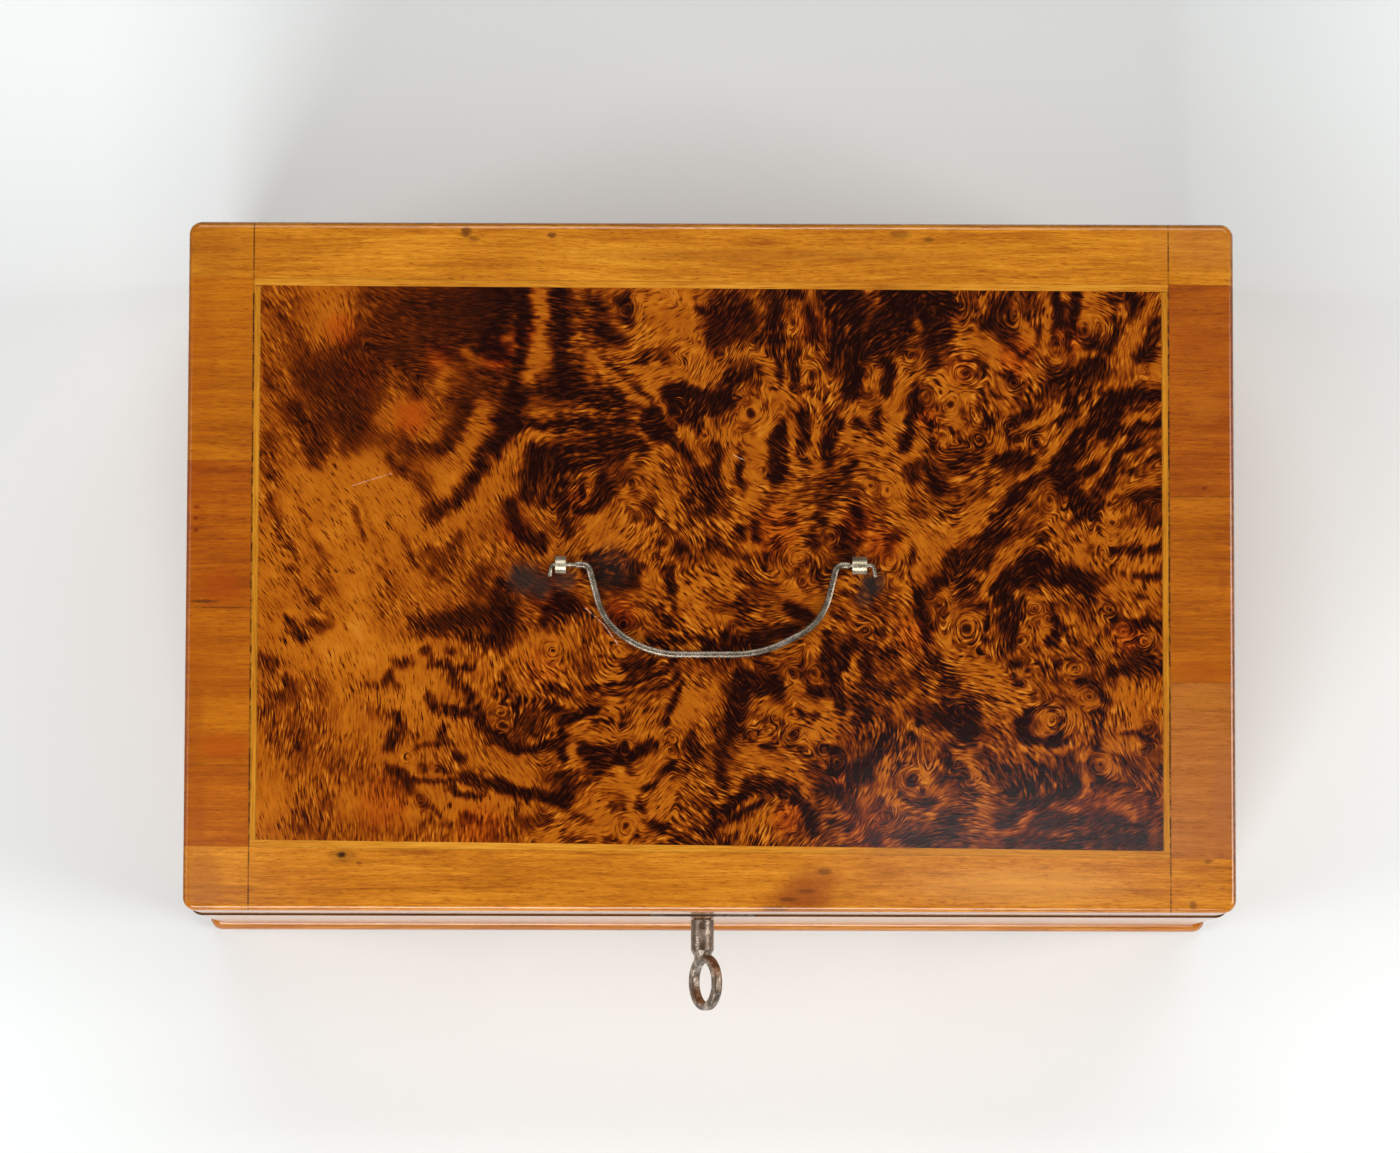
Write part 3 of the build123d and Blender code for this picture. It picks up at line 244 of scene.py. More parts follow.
    (0.95, 2.6, 1.4, 110, 27, 113, 22, 113, 17), (0.9, 1.8, 1.2, 117, 21, 117, 15),
    (0.85, 2, 1.2, 107, 30, 106, 25), (0.9, 2.2, 1.4, 130, 23, 136, 24), (0.55, 2.8, 2, 134, 19, 136, 15),
    (0.97, 1.3, 0.8, 123, 6.5, 129, 6, 137, 7), (0.5, 1.2, 1, 127, 16, 130, 13),
    (0.9, 1.8, 1.3, 74, 5, 82, 5, 88, 3), (0.95, 2.2, 1.4, 74, 2, 80, 2, 84, 1),
    (0.75, 2, 1.6, 80, 9, 86, 8), (0.6, 2, 2, 99, 8, 104, 12), (0.9, 1.2, 0.9, 62, 7, 61, 3),
    (0.7, 1.2, 0.9, 54, 11, 60, 11), (1, 2.8, 1.1, 97, 3, 103, 3.5, 108, 1.5),
    # front right
    (1, 3.4, 1.2, 90, -3, 97, -1, 105, -1.5, 114, -2), (0.95, 2.2, 1.2, 114, -3, 116.5, -6),
    (1, 2.6, 1.2, 88, -6, 91, -11, 90.5, -17), (0.95, 1.8, 1, 91, -18, 91, -23),
    (0.9, 2, 1.4, 94, -10, 93, -14), (0.97, 2.3, 1.3, 69, -3, 75, -2.5, 80, -4, 79, -6.5),
    (0.97, 2, 1.1, 65, -6, 64.5, -12, 66, -18), (0.97, 1.5, 0.9, 65.5, -20, 66, -24, 68, -27.5),
    (0.92, 0.8, 0.6, 84.6, -14.5, 84.6, -17.5), (0.97, 1.2, 0.7, 81, -24, 82, -24.5),
    (0.85, 0.9, 0.7, 76.5, -23.5, 78, -24.5), (0.95, 1.2, 0.8, 106, -15, 108.5, -17.5),
    (0.95, 1.1, 0.7, 92.3, -32), (0.97, 0.9, 0.6, 95, -28, 91.5, -28.5),
    (0.97, 1, 0.6, 112, -33.7, 117, -34.3), (0.95, 1, 0.7, 120, -42.5, 116, -43.5),
    (0.8, 1.2, 1, 119, -37, 121, -40), (0.85, 1.4, 1, 103, -22, 106, -20),
    (0.8, 1.2, 1, 116.5, -24, 117.5, -28), (0.97, 1.7, 0.9, 129, -16.5, 133, -16, 138, -17),
    (0.95, 1.8, 1.1, 122, -31, 129, -29.5, 138, -29), (0.55, 2, 1.4, 126, -25, 133, -26.5),
    (0.75, 0.7, 0.6, 126, -6, 130, -7.5), (0.9, 1, 0.8, 130, -1.5, 138, -2),
    (0.85, 1.3, 1, 121, -11, 124, -14), (0.9, 1.5, 1, 70, -30, 71.5, -34, 75, -36),
    (0.7, 1.2, 1, 63, -32, 66, -35), (0.98, 3.6, 1.5, 72, -42, 74, -46, 78, -50),
    (0.9, 2.2, 1.5, 78, -41, 81, -45, 80, -50), (1, 1.8, 0.9, 97, -43, 94.8, -47, 95.5, -50.5),
    (1, 1.7, 0.9, 97, -51.5, 103, -52.5, 108, -51), (0.97, 1, 0.7, 107, -45, 107.3, -46.8),
    (0.75, 0.9, 0.7, 99, -42, 103, -41.5, 107, -42.5), (0.92, 1.4, 0.9, 118, -53.5),
    (0.92, 0.8, 0.6, 126, -50, 129, -49.7, 135, -51.5), (0.6, 1.4, 1, 133, -47.5, 135, -48),
    (0.5, 1.3, 1, 134, -54), (0.5, 3.4, 3.2, 98, -60, 103, -62, 108, -60), (0.6, 2, 1.6, 94, -62, 94, -66),
    (0.9, 1.8, 1, 72, -57.8, 75, -59.5, 76.5, -62.5), (0.92, 1.3, 0.9, 57, -60.3),
    (0.9, 1.2, 0.8, 61.5, -64), (0.9, 0.9, 0.7, 65, -67.5), (0.92, 1, 0.8, 61, -70, 65, -71, 69, -70),
    (0.95, 0.5, 0.4, 83.5, -54, 85, -58, 86, -62.5), (0.97, 2.1, 1.2, 55, -49, 53, -53, 50, -57, 48, -63),
    (0.92, 0.9, 0.6, 63.2, -43.5, 63, -46.5), (0.95, 1.6, 1, 53, -36, 54.5, -38),
    (0.95, 1.7, 1.2, 46.5, -43, 47.5, -46), (0.85, 1.3, 1, 52, -45), (0.85, 1.2, 0.9, 61, -50, 62.5, -52),
    (0.85, 2.5, 2, 92, -68, 96, -71), (0.85, 2.6, 1.8, 101, -69, 107, -68, 111, -66),
    (0.65, 3, 2, 99, -75, 108, -77, 118, -77, 127, -78), (0.75, 1.6, 1.2, 134, -69, 135, -72),
    (0.75, 2, 1.6, 60, -82, 66, -82, 73, -81), (0.8, 2, 1.6, 86, -78, 90, -77, 93, -75),
    (0.8, 1.8, 1.4, 98, -83, 108, -84, 118, -82), (0.75, 2, 1.6, 125, -82, 132, -83),
    (0.65, 1.2, 1, 118, -62, 120, -66), (0.9, 0.9, 0.8, 119, -64, 124, -64.8, 129, -65),
    (0.55, 2.5, 2, 126, -59, 130, -62), (0.85, 2.4, 1.6, 46, -26, 48, -32),
    (0.55, 2, 1.6, 50, -24, 54, -27),
]

# Pale wood laid over the dark figure, in the same form.
burl_pale = [
    (0.8, 2.6, 1.6, -52.5, 86, -53.5, 76, -53, 66, -56, 59), (0.7, 4.5, 3, -118, 82, -117, 74),
    (0.75, 2.5, 2, -86, 65, -82, 62, -84, 57), (0.7, 3.5, 2.5, -100, 47, -92, 49, -90, 43),
    (0.8, 2.6, 1.4, -70, 50, -74, 41, -78, 34, -84, 30), (0.7, 1.4, 1, -76, 67, -70, 63.5, -66, 63.2),
    (0.9, 0.9, 1, -64, 71.5, -61.5, 71.5),
    (0.85, 3, 1.8, -92, 12, -84, 11, -76, 15, -70, 22, -66, 29, -60, 38),
    (0.85, 1.7, 1, -60, 38, -56, 41, -50, 41), (0.7, 1.5, 1, -58, 49, -50, 48),
    (0.6, 6, 5, -124, 24, -112, 28, -100, 22, -100, 10), (0.75, 1.5, 0.9, -58, 20, -56, 16, -52, 13),
    (0.5, 4, 3, -75, 4, -66, 6), (0.6, 2.2, 1.6, -58, -10, -54, -18, -50, -22),
    (0.8, 1.2, 0.8, -73, -58, -66, -60, -60, -63), (0.85, 0.9, 0.7, -76, -72, -68, -71, -60, -72),
    (0.9, 1.5, 0.8, -37, 67, -33, 62, -28, 57, -24, 54, -20, 52.5),
    (0.8, 2.6, 1.4, -24, 60, -16, 60, -8, 62), (0.75, 3.6, 2.2, -20, 80, -12, 78, -6, 74),
    (0.9, 1.6, 0.8, -9, 43, -6, 38, -2, 33), (0.95, 1.4, 0.7, -2, 46, 0.5, 43),
    (0.9, 2, 1, 5, 43, 6, 36, 5, 28), (0.85, 2.8, 1.4, 13, 38, 14, 32, 13, 24),
    (0.9, 1.4, 0.8, 24.5, 46, 24.8, 38, 25.5, 32), (0.85, 1.8, 1, 32.5, 46, 32, 38, 32, 32),
    (0.85, 1.2, 0.8, 20, 56, 22.5, 54, 25, 51), (0.75, 1.6, 1, 16, 66, 18, 61, 20, 52, 18, 46),
    (0.8, 2.4, 1.4, -17, 32, -14, 24, -12, 16), (0.7, 3.5, 2.5, -28, 14, -26, 8, -34, 9),
    (0.85, 2, 1, 2, 14, 5, 14, 3.5, 11), (0.85, 1.4, 0.8, 18, 12, 24, 12.5, 30, 14.5),
    (0.9, 2.6, 1.4, 43, 42, 47, 38), (0.85, 1.3, 0.9, 41, 48, 46, 49), (0.75, 2.4, 1.5, -19, -2, -17, -8),
    (0.7, 3, 2, -6, -8, -4, -14), (0.7, 2.5, 2, 2, -2, 5, -6), (0.75, 1.8, 1.2, 22, -6, 29, -8, 34, -12),
    (0.9, 3.2, 1.4, -7, -38, -5, -43, -8, -47), (0.8, 3, 1.6, -22, -44, -20, -46, -22, -48),
    (0.8, 1.8, 1.1, -40, -50, -32, -51), (0.8, 1.3, 0.8, -43, -54, -42, -60),
    (0.8, 2.8, 1.6, -32, -65, -26, -66, -18, -61), (0.8, 2.2, 1.4, -14, -66, -12, -74),
    (0.75, 3.6, 2.2, -36, -70, -32, -78, -24, -77), (0.85, 1.6, 1, 12, -47, 16, -51),
    (0.85, 2, 1.2, 20, -43, 26, -46), (0.9, 2.8, 1.4, 30, -49, 36, -50),
    (0.8, 2.2, 1.3, 10, -57, 18, -58, 26, -62, 30, -68), (0.8, 1.4, 1, 24, -35, 27, -35, 26, -39),
    (0.9, 1.3, 0.7, 44, -26, 44.5, -32), (0.85, 1.2, 0.8, 6, -80, 12, -77, 20, -75),
    (0.7, 1.2, 1, 7, -66, 8, -64), (0.9, 0.9, 0.6, 63, 76.5, 63.5, 74),
    (0.9, 1.5, 1, 57, 55, 56, 48, 54, 40), (0.7, 1.8, 1, 59, 60, 57, 54),
    (0.95, 1.4, 0.9, 83, 83, 83.5, 81), (0.9, 2.4, 1.2, 97, 76, 97, 71),
    (0.85, 1.6, 0.9, 103, 84, 103.5, 76, 102, 68), (0.8, 1.7, 1, 111, 71, 114, 67.5, 117, 67),
    (0.75, 2.4, 1.5, 117, 82, 119, 76), (0.9, 1.9, 1, 78, 72, 86, 69, 93, 64.5, 99, 61.5),
    (0.85, 1.5, 0.9, 72, 56, 77, 56, 80, 51), (0.85, 1.4, 0.8, 66, 49, 71, 46.8, 76, 46),
    (0.9, 1.5, 0.8, 71.5, 43, 71.5, 39), (0.95, 1.1, 0.6, 96, 44, 102, 46, 107, 50),
    (0.9, 0.9, 0.6, 88, 44, 89, 37), (0.9, 1.1, 0.7, 118, 53, 112, 45, 107, 39, 100, 32, 92, 28, 86, 25),
    (0.8, 2, 1.2, 124, 60, 128, 66, 131, 72, 134, 80), (0.8, 2, 1.3, 130, 60, 137, 63),
    (0.92, 1, 0.6, 112.5, 32, 117, 35.5, 120, 38), (0.92, 1.1, 0.6, 115, 26, 119, 30, 122, 36, 126, 41),
    (0.9, 0.9, 0.6, 127, 31.5, 131, 33.5, 136, 37), (0.92, 1.3, 0.7, 127, 46, 131, 48.5, 135, 47),
    (0.9, 1.3, 0.8, 122, 23, 127, 26, 137, 28), (0.85, 2.2, 1.2, 118, 10, 124, 10, 130, 11, 136, 11),
    (0.9, 1.8, 0.8, 87, 0, 90, 5, 95, 9), (0.85, 1.6, 0.9, 84, -4, 87, 0),
    (0.8, 2.6, 1.6, 108, 5, 118, 3, 130, 2), (0.75, 2.6, 1.6, 66, 4, 64, 10, 58, 16, 56, 22, 54, 28),
    (0.7, 3, 2, 72, 10, 78, 14, 86, 21), (0.6, 2.2, 1.6, 102, 26, 104, 20, 106, 12),
    (0.85, 1.2, 0.8, 98, -9, 106, -8), (0.75, 2.2, 1.6, 124, -5, 130, -12, 136, -9),
    (0.7, 2.6, 1.8, 82, -32, 90, -37, 88, -43), (0.7, 2.2, 1.4, 72, -24, 78, -27, 88, -30),
    (0.85, 1.4, 0.9, 68, -24), (0.75, 3.4, 2, 128, -37, 134, -44, 136, -39),
    (0.8, 2.2, 1.4, 122, -52, 130, -53.5), (0.9, 1.9, 1, 101, -44, 105, -44.5),
    (0.85, 1.2, 0.8, 94, -54, 102, -55.5, 110, -54.5), (0.9, 1.3, 0.9, 113, -58, 114.5, -62, 115, -66),
    (0.8, 1.4, 0.9, 75, -56, 79, -57.5, 82, -62), (0.8, 1.6, 1, 109, -30, 113, -30),
    (0.7, 2, 1.4, 53, -60, 54, -66, 56, -70), (0.8, 1.5, 0.9, 121, -58, 124, -61),
    (0.75, 2.2, 1.4, 84, -72, 85, -77), (0.8, 1, 0.8, 86, -80, 93, -79.5, 98, -74),
    (0.7, 1.5, 1, 105, -72, 111, -73), (0.7, 2, 1.4, 123, -72, 129, -74),
]

# Eyes: x, y, pupil radius, radius of the rings round it, and height over width.
burl_eyes = [
    (-64, -43.8, 1.2, 3, 0.8), (-63.5, -48, 1.3, 3, 0.9), (-62, -7, 0.9, 2.4, 1), (-48.5, -25, 0.6, 3.5, 1),
    (-87.5, -70.5, 0.9, 2.4, 1), (-26, -78, 1.2, 5, 1.1), (-16, 49.5, 0.8, 3.2, 1),
    (-3.5, 80.4, 1.1, 2.4, 1), (-4, 70.5, 0.9, 2.4, 1), (3, 66.5, 1.2, 2.6, 1.1), (-10, 84, 0.6, 2, 1),
    (24.5, 77, 1.1, 4.2, 1.4), (31, 60, 1.2, 4.5, 1.7), (12.5, 48.5, 1.6, 7.4, 1), (-2.5, 41, 1, 3, 1),
    (-24.5, 27, 0.9, 3.5, 1), (-28, 31, 0.7, 2.2, 1.3), (-38.8, 25, 0.6, 2.6, 2),
    (15.5, 31.5, 0.6, 2.6, 0.9), (36.5, 10.5, 0.9, 3.2, 1), (26.5, 4, 0.8, 8.5, 0.85),
    (-17, 5, 0.7, 2.2, 1), (-26, -54, 1.4, 3.4, 1), (-12, -51, 0.9, 3, 1), (-12.5, -55, 0.8, 2.6, 0.9),
    (-27, -16, 1, 6, 1), (27.5, -2.5, 1, 3, 1), (25, -31.3, 1.4, 3.4, 1.1), (31.5, -31.3, 1.5, 3.4, 1.1),
    (20.3, -45.3, 0.8, 2.4, 1), (24.5, -50, 1.3, 4.2, 0.9), (12, -50, 0.9, 2.6, 1), (34, -55, 0.9, 3, 1),
    (38.5, -59, 0.9, 3.4, 1), (22.5, -75.5, 1, 3.4, 1), (26, -78.5, 0.7, 2.4, 1), (61.5, 66, 1, 4, 1.2),
    (48, 56.5, 0.7, 4.5, 1.8), (77.6, 83, 0.7, 3, 2.4), (93.6, 80, 0.6, 2.4, 2.2),
    (78, 60.5, 1.4, 5.5, 0.9), (92.5, 58.5, 1, 2.8, 1), (73.5, 51, 1.4, 5, 0.9), (66.5, 54, 0.6, 3, 1.4),
    (71.5, 41.5, 0.3, 2.8, 1.2), (81.6, 41.3, 0.9, 2.8, 1.4), (91.5, 45.5, 0.8, 2.6, 0.8),
    (93.5, 40, 0.9, 2.8, 1), (99, 40, 0.9, 3, 1.1), (115, 74.5, 1.3, 4.4, 1.1), (106, 68, 0.5, 4.5, 1.8),
    (123.7, 15, 1.2, 4.2, 1), (122.3, 9.5, 0.7, 2.4, 0.8), (103.8, 22, 0.9, 4.2, 1.3),
    (64, 33, 0.7, 2.6, 1), (54.8, 3.5, 0.6, 6, 1.1), (54, 24.5, 0.9, 3.2, 1), (48.5, 26, 0.9, 2.2, 1),
    (78, -17.3, 1.6, 6, 1.3), (70, -9, 0.7, 3, 1.2), (99, -11.8, 1, 3.4, 0.9), (103.6, -15.2, 0.8, 2.4, 1),
    (94.3, -21, 1.5, 3.6, 0.9), (96.7, -30.5, 1.1, 3.4, 1), (111.5, -30, 0.4, 4.4, 0.7),
    (115.3, -38.5, 1, 4.6, 0.8), (122.3, -12, 0.8, 2.8, 1), (126.5, -19, 0.6, 2.6, 1),
    (133, -22, 1.1, 3.6, 0.9), (76, -43, 0.6, 3.2, 0.9), (104.5, -45.5, 0.2, 7, 0.85),
    (119.5, -59.5, 1.3, 5, 0.9), (79.5, -64.4, 1.1, 3.4, 1), (62, -64, 1.2, 4.5, 1),
    (65.3, -67.6, 0.8, 2.4, 1), (54, -75.5, 0.8, 4.5, 0.9), (51.5, -3, 0.5, 3, 1),
    (47.5, -18.5, 0.9, 2.6, 0.9), (-92, -57, 0.5, 2.6, 0.9), (-83.5, -62, 0.6, 2.2, 1),
    (-25.5, 80, 1.2, 3.6, 1.2), (134, -54, 0.6, 2.6, 0.6), (134, -48, 0.6, 2.4, 0.8),
    (66, -13, 0.4, 2.6, 1.4),
]

# Run of the fibres: x, y, angle from +X in degrees, darkness of the ground and how strongly the fibres show.
burl_fibres = [
    (-135, 80, -56, 0.3, 1), (-125, 70, -57, 0.3, 1), (-115, 80, -55, 0.14, 0.8),
    (-120, 55, -58, 0.45, 0.9), (-110, 58, -48, 0.55, 0.8), (-100, 82, -8, 0.55, 0.6),
    (-85, 80, -6, 0.6, 0.6), (-70, 84, -8, 0.65, 0.5), (-100, 72, -30, 0.4, 0.8), (-80, 72, -10, 0.6, 0.6),
    (-130, 50, -55, 0.22, 1), (-136, 40, -60, 0.25, 1), (-100, 50, -42, 0.3, 0.9), (-92, 42, -48, 0.25, 1),
    (-75, 57, -35, 0.45, 0.8), (-72, 38, -38, 0.22, 0.8), (-85, 28, -56, 0.12, 0.7),
    (-105, 30, -55, 0.08, 0.4), (-105, 15, -60, 0.1, 1), (-118, 25, -55, 0.1, 0.7),
    (-130, 10, -63, 0.18, 1.1), (-136, 22, -66, 0.2, 1), (-112, 5, -60, 0.12, 0.8),
    (-66, 25, -66, 0.25, 0.8), (-55, 82, -32, 0.2, 0.8), (-53, 70, -28, 0.18, 0.9), (-48, 60, -8, 0.5, 0.9),
    (-75, 6, -65, 0.35, 0.9), (-66, 12, -62, 0.3, 0.8), (-57, 34, 55, 0.45, 0.9), (-50, 50, -3, 0.4, 0.8),
    (-50, 30, 60, 0.5, 0.9), (-68, 60, -25, 0.5, 0.7), (-88, 12, -68, 0.12, 0.8), (-57, 14, -50, 0.35, 0.9),
    (-64, 0, -60, 0.45, 0.9), (-130, -6, -60, 0.14, 1), (-125, -14, -52, 0.15, 1),
    (-115, -30, -82, 0.1, 0.9), (-112, -15, -70, 0.08, 0.6), (-135, -22, -80, 0.12, 0.8),
    (-125, -36, -72, 0.16, 1), (-125, -48, 80, 0.28, 1), (-135, -58, 84, 0.12, 0.8),
    (-110, -46, 74, 0.1, 0.8), (-115, -57, 70, 0.18, 0.9), (-108, -70, 88, 0.12, 0.7),
    (-125, -72, -84, 0.14, 1), (-135, -75, -68, 0.08, 0.8), (-102, -28, -88, 0.08, 0.7),
    (-95, -8, -62, 0.22, 1.1), (-102, -58, 70, 0.14, 0.7), (-88, -36, 86, 0.15, 1),
    (-70, -30, 80, 0.25, 1.2), (-62, -30, -86, 0.25, 1.2), (-76, -54, -68, 0.2, 1.1),
    (-92, -55, 85, 0.15, 0.8), (-80, -75, 86, 0.08, 0.8), (-62, -75, 89, 0.16, 0.9),
    (-100, -75, 88, 0.12, 0.6), (-80, -8, -50, 0.25, 0.7), (-55, -30, -55, 0.2, 1.1),
    (-64, -59, -35, 0.15, 0.8), (-54, -45, 60, 0.35, 1.2), (-48, -32, -30, 0.25, 1.1),
    (-52, -8, -20, 0.5, 0.8), (-44, 80, -60, 0.5, 0.9), (-35, 56, -12, 0.5, 1.2), (-36, 46, -3, 0.55, 1.2),
    (-44, 40, 6, 0.4, 1.2), (-32, 63, -42, 0.25, 1.1), (-24, 64, -30, 0.2, 1.1), (-15, 61, -6, 0.2, 1.1),
    (-12, 76, -28, 0.15, 0.9), (-5, 74, -22, 0.15, 0.9), (-20, 72, -12, 0.2, 1), (-36, 84, -20, 0.4, 0.8),
    (-38, 72, -50, 0.55, 0.9), (-3, 60, 86, 0.3, 1.2), (5, 62, 58, 0.4, 1), (-42, 33, 12, 0.5, 1),
    (-30, 35, 10, 0.6, 0.9), (-23, 44, -8, 0.3, 1.1), (-44, 25, 50, 0.4, 1.1), (-30, 14, 62, 0.22, 1.2),
    (-20, 10, 74, 0.3, 1.1), (-22, 24, -40, 0.3, 1.1), (-16, 32, -62, 0.35, 1.2), (-12, 20, -68, 0.22, 1.1),
    (-5, 25, -68, 0.5, 1.2), (-5, 12, -60, 0.45, 1.2), (-36, 10, 60, 0.25, 1.1), (-42, 12, 70, 0.35, 1.1),
    (12, 26, -14, 0.25, 1.1), (14, 36, -20, 0.22, 0.9), (24, 25, 4, 0.3, 1.2), (22, 30, -10, 0.35, 1.1),
    (30, 40, -78, 0.3, 0.9), (24, 50, -75, 0.3, 1), (33, 52, 72, 0.35, 1.2), (44, 54, 45, 0.3, 1.1),
    (12, 12, -50, 0.35, 1.1), (5, 4, -60, 0.5, 1.1), (14, 3, -70, 0.25, 1.2), (36, 25, -5, 0.5, 1),
    (28, 18, 18, 0.35, 1), (40, 12, -30, 0.5, 1), (16, 64, -60, 0.3, 1), (14, 76, 52, 0.4, 1),
    (10, 84, 30, 0.4, 0.9), (27, 72, 70, 0.35, 1.2), (33, 70, -70, 0.45, 1.2), (30, 84, 70, 0.4, 1.1),
    (46, 72, 50, 0.5, 1), (44, 42, 30, 0.15, 0.8), (0, 34, -66, 0.4, 1), (-8, 6, 40, 0.45, 1.1),
    (34, 4, 20, 0.45, 1.1), (-22, -10, -75, 0.3, 1), (-30, -10, -30, 0.45, 0.8), (-6, -8, -66, 0.22, 1.2),
    (-3, -18, -62, 0.35, 1.3), (8, -10, -60, 0.45, 1.2), (2, -4, -62, 0.22, 1.1), (14, -6, -30, 0.4, 1),
    (26, -7, -12, 0.3, 0.9), (-5, -28, -72, 0.35, 1.2), (-4, -36, -55, 0.3, 1.1), (-5, -44, -50, 0.1, 0.6),
    (0, -50, -65, 0.3, 1.2), (-5, -63, -22, 0.35, 1.3), (-4, -74, -32, 0.35, 1.3), (-14, -68, 60, 0.2, 0.9),
    (-30, -66, -8, 0.2, 0.9), (-30, -76, -14, 0.15, 0.8), (-40, -51, -4, 0.25, 1),
    (-30, -41, -64, 0.35, 1.3), (-40, -30, -78, 0.3, 1.2), (-34, -24, -60, 0.35, 1.2),
    (-22, -34, 12, 0.35, 1), (-38, -66, 60, 0.3, 0.9), (-42, -80, -8, 0.2, 1), (-20, -46, 55, 0.2, 1),
    (-42, -20, -84, 0.35, 1.2), (-30, -36, 5, 0.3, 0.9), (20, -57, -14, 0.25, 1.2),
    (12, -58, -35, 0.25, 1.2), (26, -62, -42, 0.25, 1.2), (14, -79, 62, 0.25, 1.3), (22, -81, 60, 0.3, 1.2),
    (28, -79, 50, 0.35, 1), (36, -42, -52, 0.25, 1.2), (44, -38, -70, 0.3, 1.1), (6, -44, 80, 0.55, 1),
    (42, -10, -42, 0.3, 1.1), (44, -17, -30, 0.3, 1), (35, -29, -75, 0.4, 1.1), (15, -44, 40, 0.3, 1),
    (28, -56, -40, 0.3, 1.1), (38, -50, -50, 0.25, 1), (38, -76, -6, 0.4, 0.8), (46, -56, 80, 0.4, 1),
    (14, -28, -20, 0.55, 0.8), (20, -24, 30, 0.35, 0.9), (44, -72, 70, 0.35, 1), (50, 41, -4, 0.25, 1.2),
    (50, 34, -10, 0.25, 1.1), (55, 46, 0, 0.25, 1.2), (57, 38, -15, 0.3, 1.1), (58, 60, 50, 0.3, 1.1),
    (68, 62, -20, 0.25, 1.2), (76, 67, -12, 0.22, 1.2), (86, 66, -36, 0.22, 1.1), (86, 56, -42, 0.3, 1.2),
    (82, 50, -62, 0.25, 1.2), (94, 54, -55, 0.45, 1.2), (78, 45, -70, 0.3, 1), (62, 27, -50, 0.3, 1.2),
    (58, 20, -55, 0.22, 1.1), (66, 18, -28, 0.3, 1.3), (74, 20, -28, 0.35, 1.3), (78, 15, 40, 0.25, 1.2),
    (86, 22, 38, 0.3, 1.2), (66, 8, -62, 0.18, 0.8), (52, 14, -25, 0.3, 1.1), (80, 26, 45, 0.45, 1.1),
    (74, 31, 20, 0.5, 1.1), (90, 38, 75, 0.35, 1.1), (104, 50, 70, 0.35, 1.3), (102, 44, 30, 0.22, 1),
    (112, 53, 60, 0.5, 1.1), (108, 42, 40, 0.4, 1), (126, 62, 80, 0.25, 0.9), (128, 72, 62, 0.25, 1),
    (134, 82, 60, 0.35, 1), (120, 82, -35, 0.25, 0.9), (92, 72, -40, 0.3, 1), (104, 78, 86, 0.3, 1),
    (96, 84, 80, 0.4, 1), (86, 82, 75, 0.45, 1.1), (96, 14, 60, 0.5, 1.1), (100, 10, -16, 0.4, 1.2),
    (108, 9, -70, 0.3, 1.3), (116, 6, -85, 0.22, 1.2), (130, 11, -88, 0.18, 0.9), (92, 6, 52, 0.2, 1),
    (118, 25, 40, 0.5, 1), (124, 35, 40, 0.5, 1), (132, 27, 15, 0.25, 0.8), (130, 50, 30, 0.4, 1),
    (112, 34, 45, 0.5, 1), (134, 62, -20, 0.2, 0.8), (118, 62, 75, 0.5, 0.9), (98, 66, -40, 0.25, 0.9),
    (64, 74, 50, 0.6, 0.8), (136, 18, -60, 0.45, 0.8), (130, 2, -80, 0.25, 1), (72, 76, -20, 0.45, 1),
    (84, 34, 10, 0.5, 0.9), (60, 50, 88, 0.4, 1), (98, 24, 50, 0.55, 1), (55, -12, -34, 0.3, 1.2),
    (60, -22, -60, 0.3, 1.2), (54, -28, -45, 0.3, 1.2), (60, -34, -52, 0.28, 1.1),
    (58, -43, -80, 0.28, 1.3), (59, -54, -80, 0.28, 1.3), (55, -64, 80, 0.3, 1.1), (66, -60, 60, 0.25, 1.2),
    (76, -28, -24, 0.28, 1.3), (85, -34, -36, 0.2, 1.2), (88, -42, -42, 0.2, 1.2), (97, -37, -36, 0.3, 1.2),
    (105, -36, -52, 0.3, 1.1), (108, -10, -42, 0.25, 1.2), (114, -17, -58, 0.28, 1.2),
    (118, -26, -65, 0.3, 1.2), (110, -23, -40, 0.35, 1), (128, -8, -14, 0.22, 1),
    (134, -12, -62, 0.25, 1.1), (130, -40, -72, 0.15, 1.1), (124, -45, -58, 0.22, 1.2),
    (112, -49, -52, 0.25, 1.3), (116, -58, -80, 0.35, 0.9), (89, -52, -82, 0.3, 1),
    (82, -46, -60, 0.3, 1.1), (70, -18, -70, 0.25, 1.2), (84, -10, 50, 0.25, 1.2), (87, -20, 70, 0.3, 1.2),
    (100, -57, 88, 0.3, 1.2), (106, -61, 80, 0.45, 1.1), (74, -73, -8, 0.4, 0.9), (84, -72, -30, 0.35, 0.9),
    (108, -75, 0, 0.45, 0.8), (128, -76, 35, 0.45, 0.8), (132, -60, -50, 0.35, 0.9),
    (122, -70, 30, 0.35, 0.9), (64, -77, 0, 0.4, 0.8), (96, -80, 10, 0.5, 0.7), (90, -60, -80, 0.35, 0.9),
    (68, -50, -70, 0.4, 1), (120, -35, -60, 0.3, 1), (50, -40, -50, 0.4, 1), (48, -68, 75, 0.4, 1),
    (112, -3, 0, 0.6, 0.8), (80, -54, -20, 0.4, 1), (72, -66, 50, 0.25, 1.1), (130, -24, -5, 0.35, 1),
    (52, -52, 50, 0.45, 1),
]

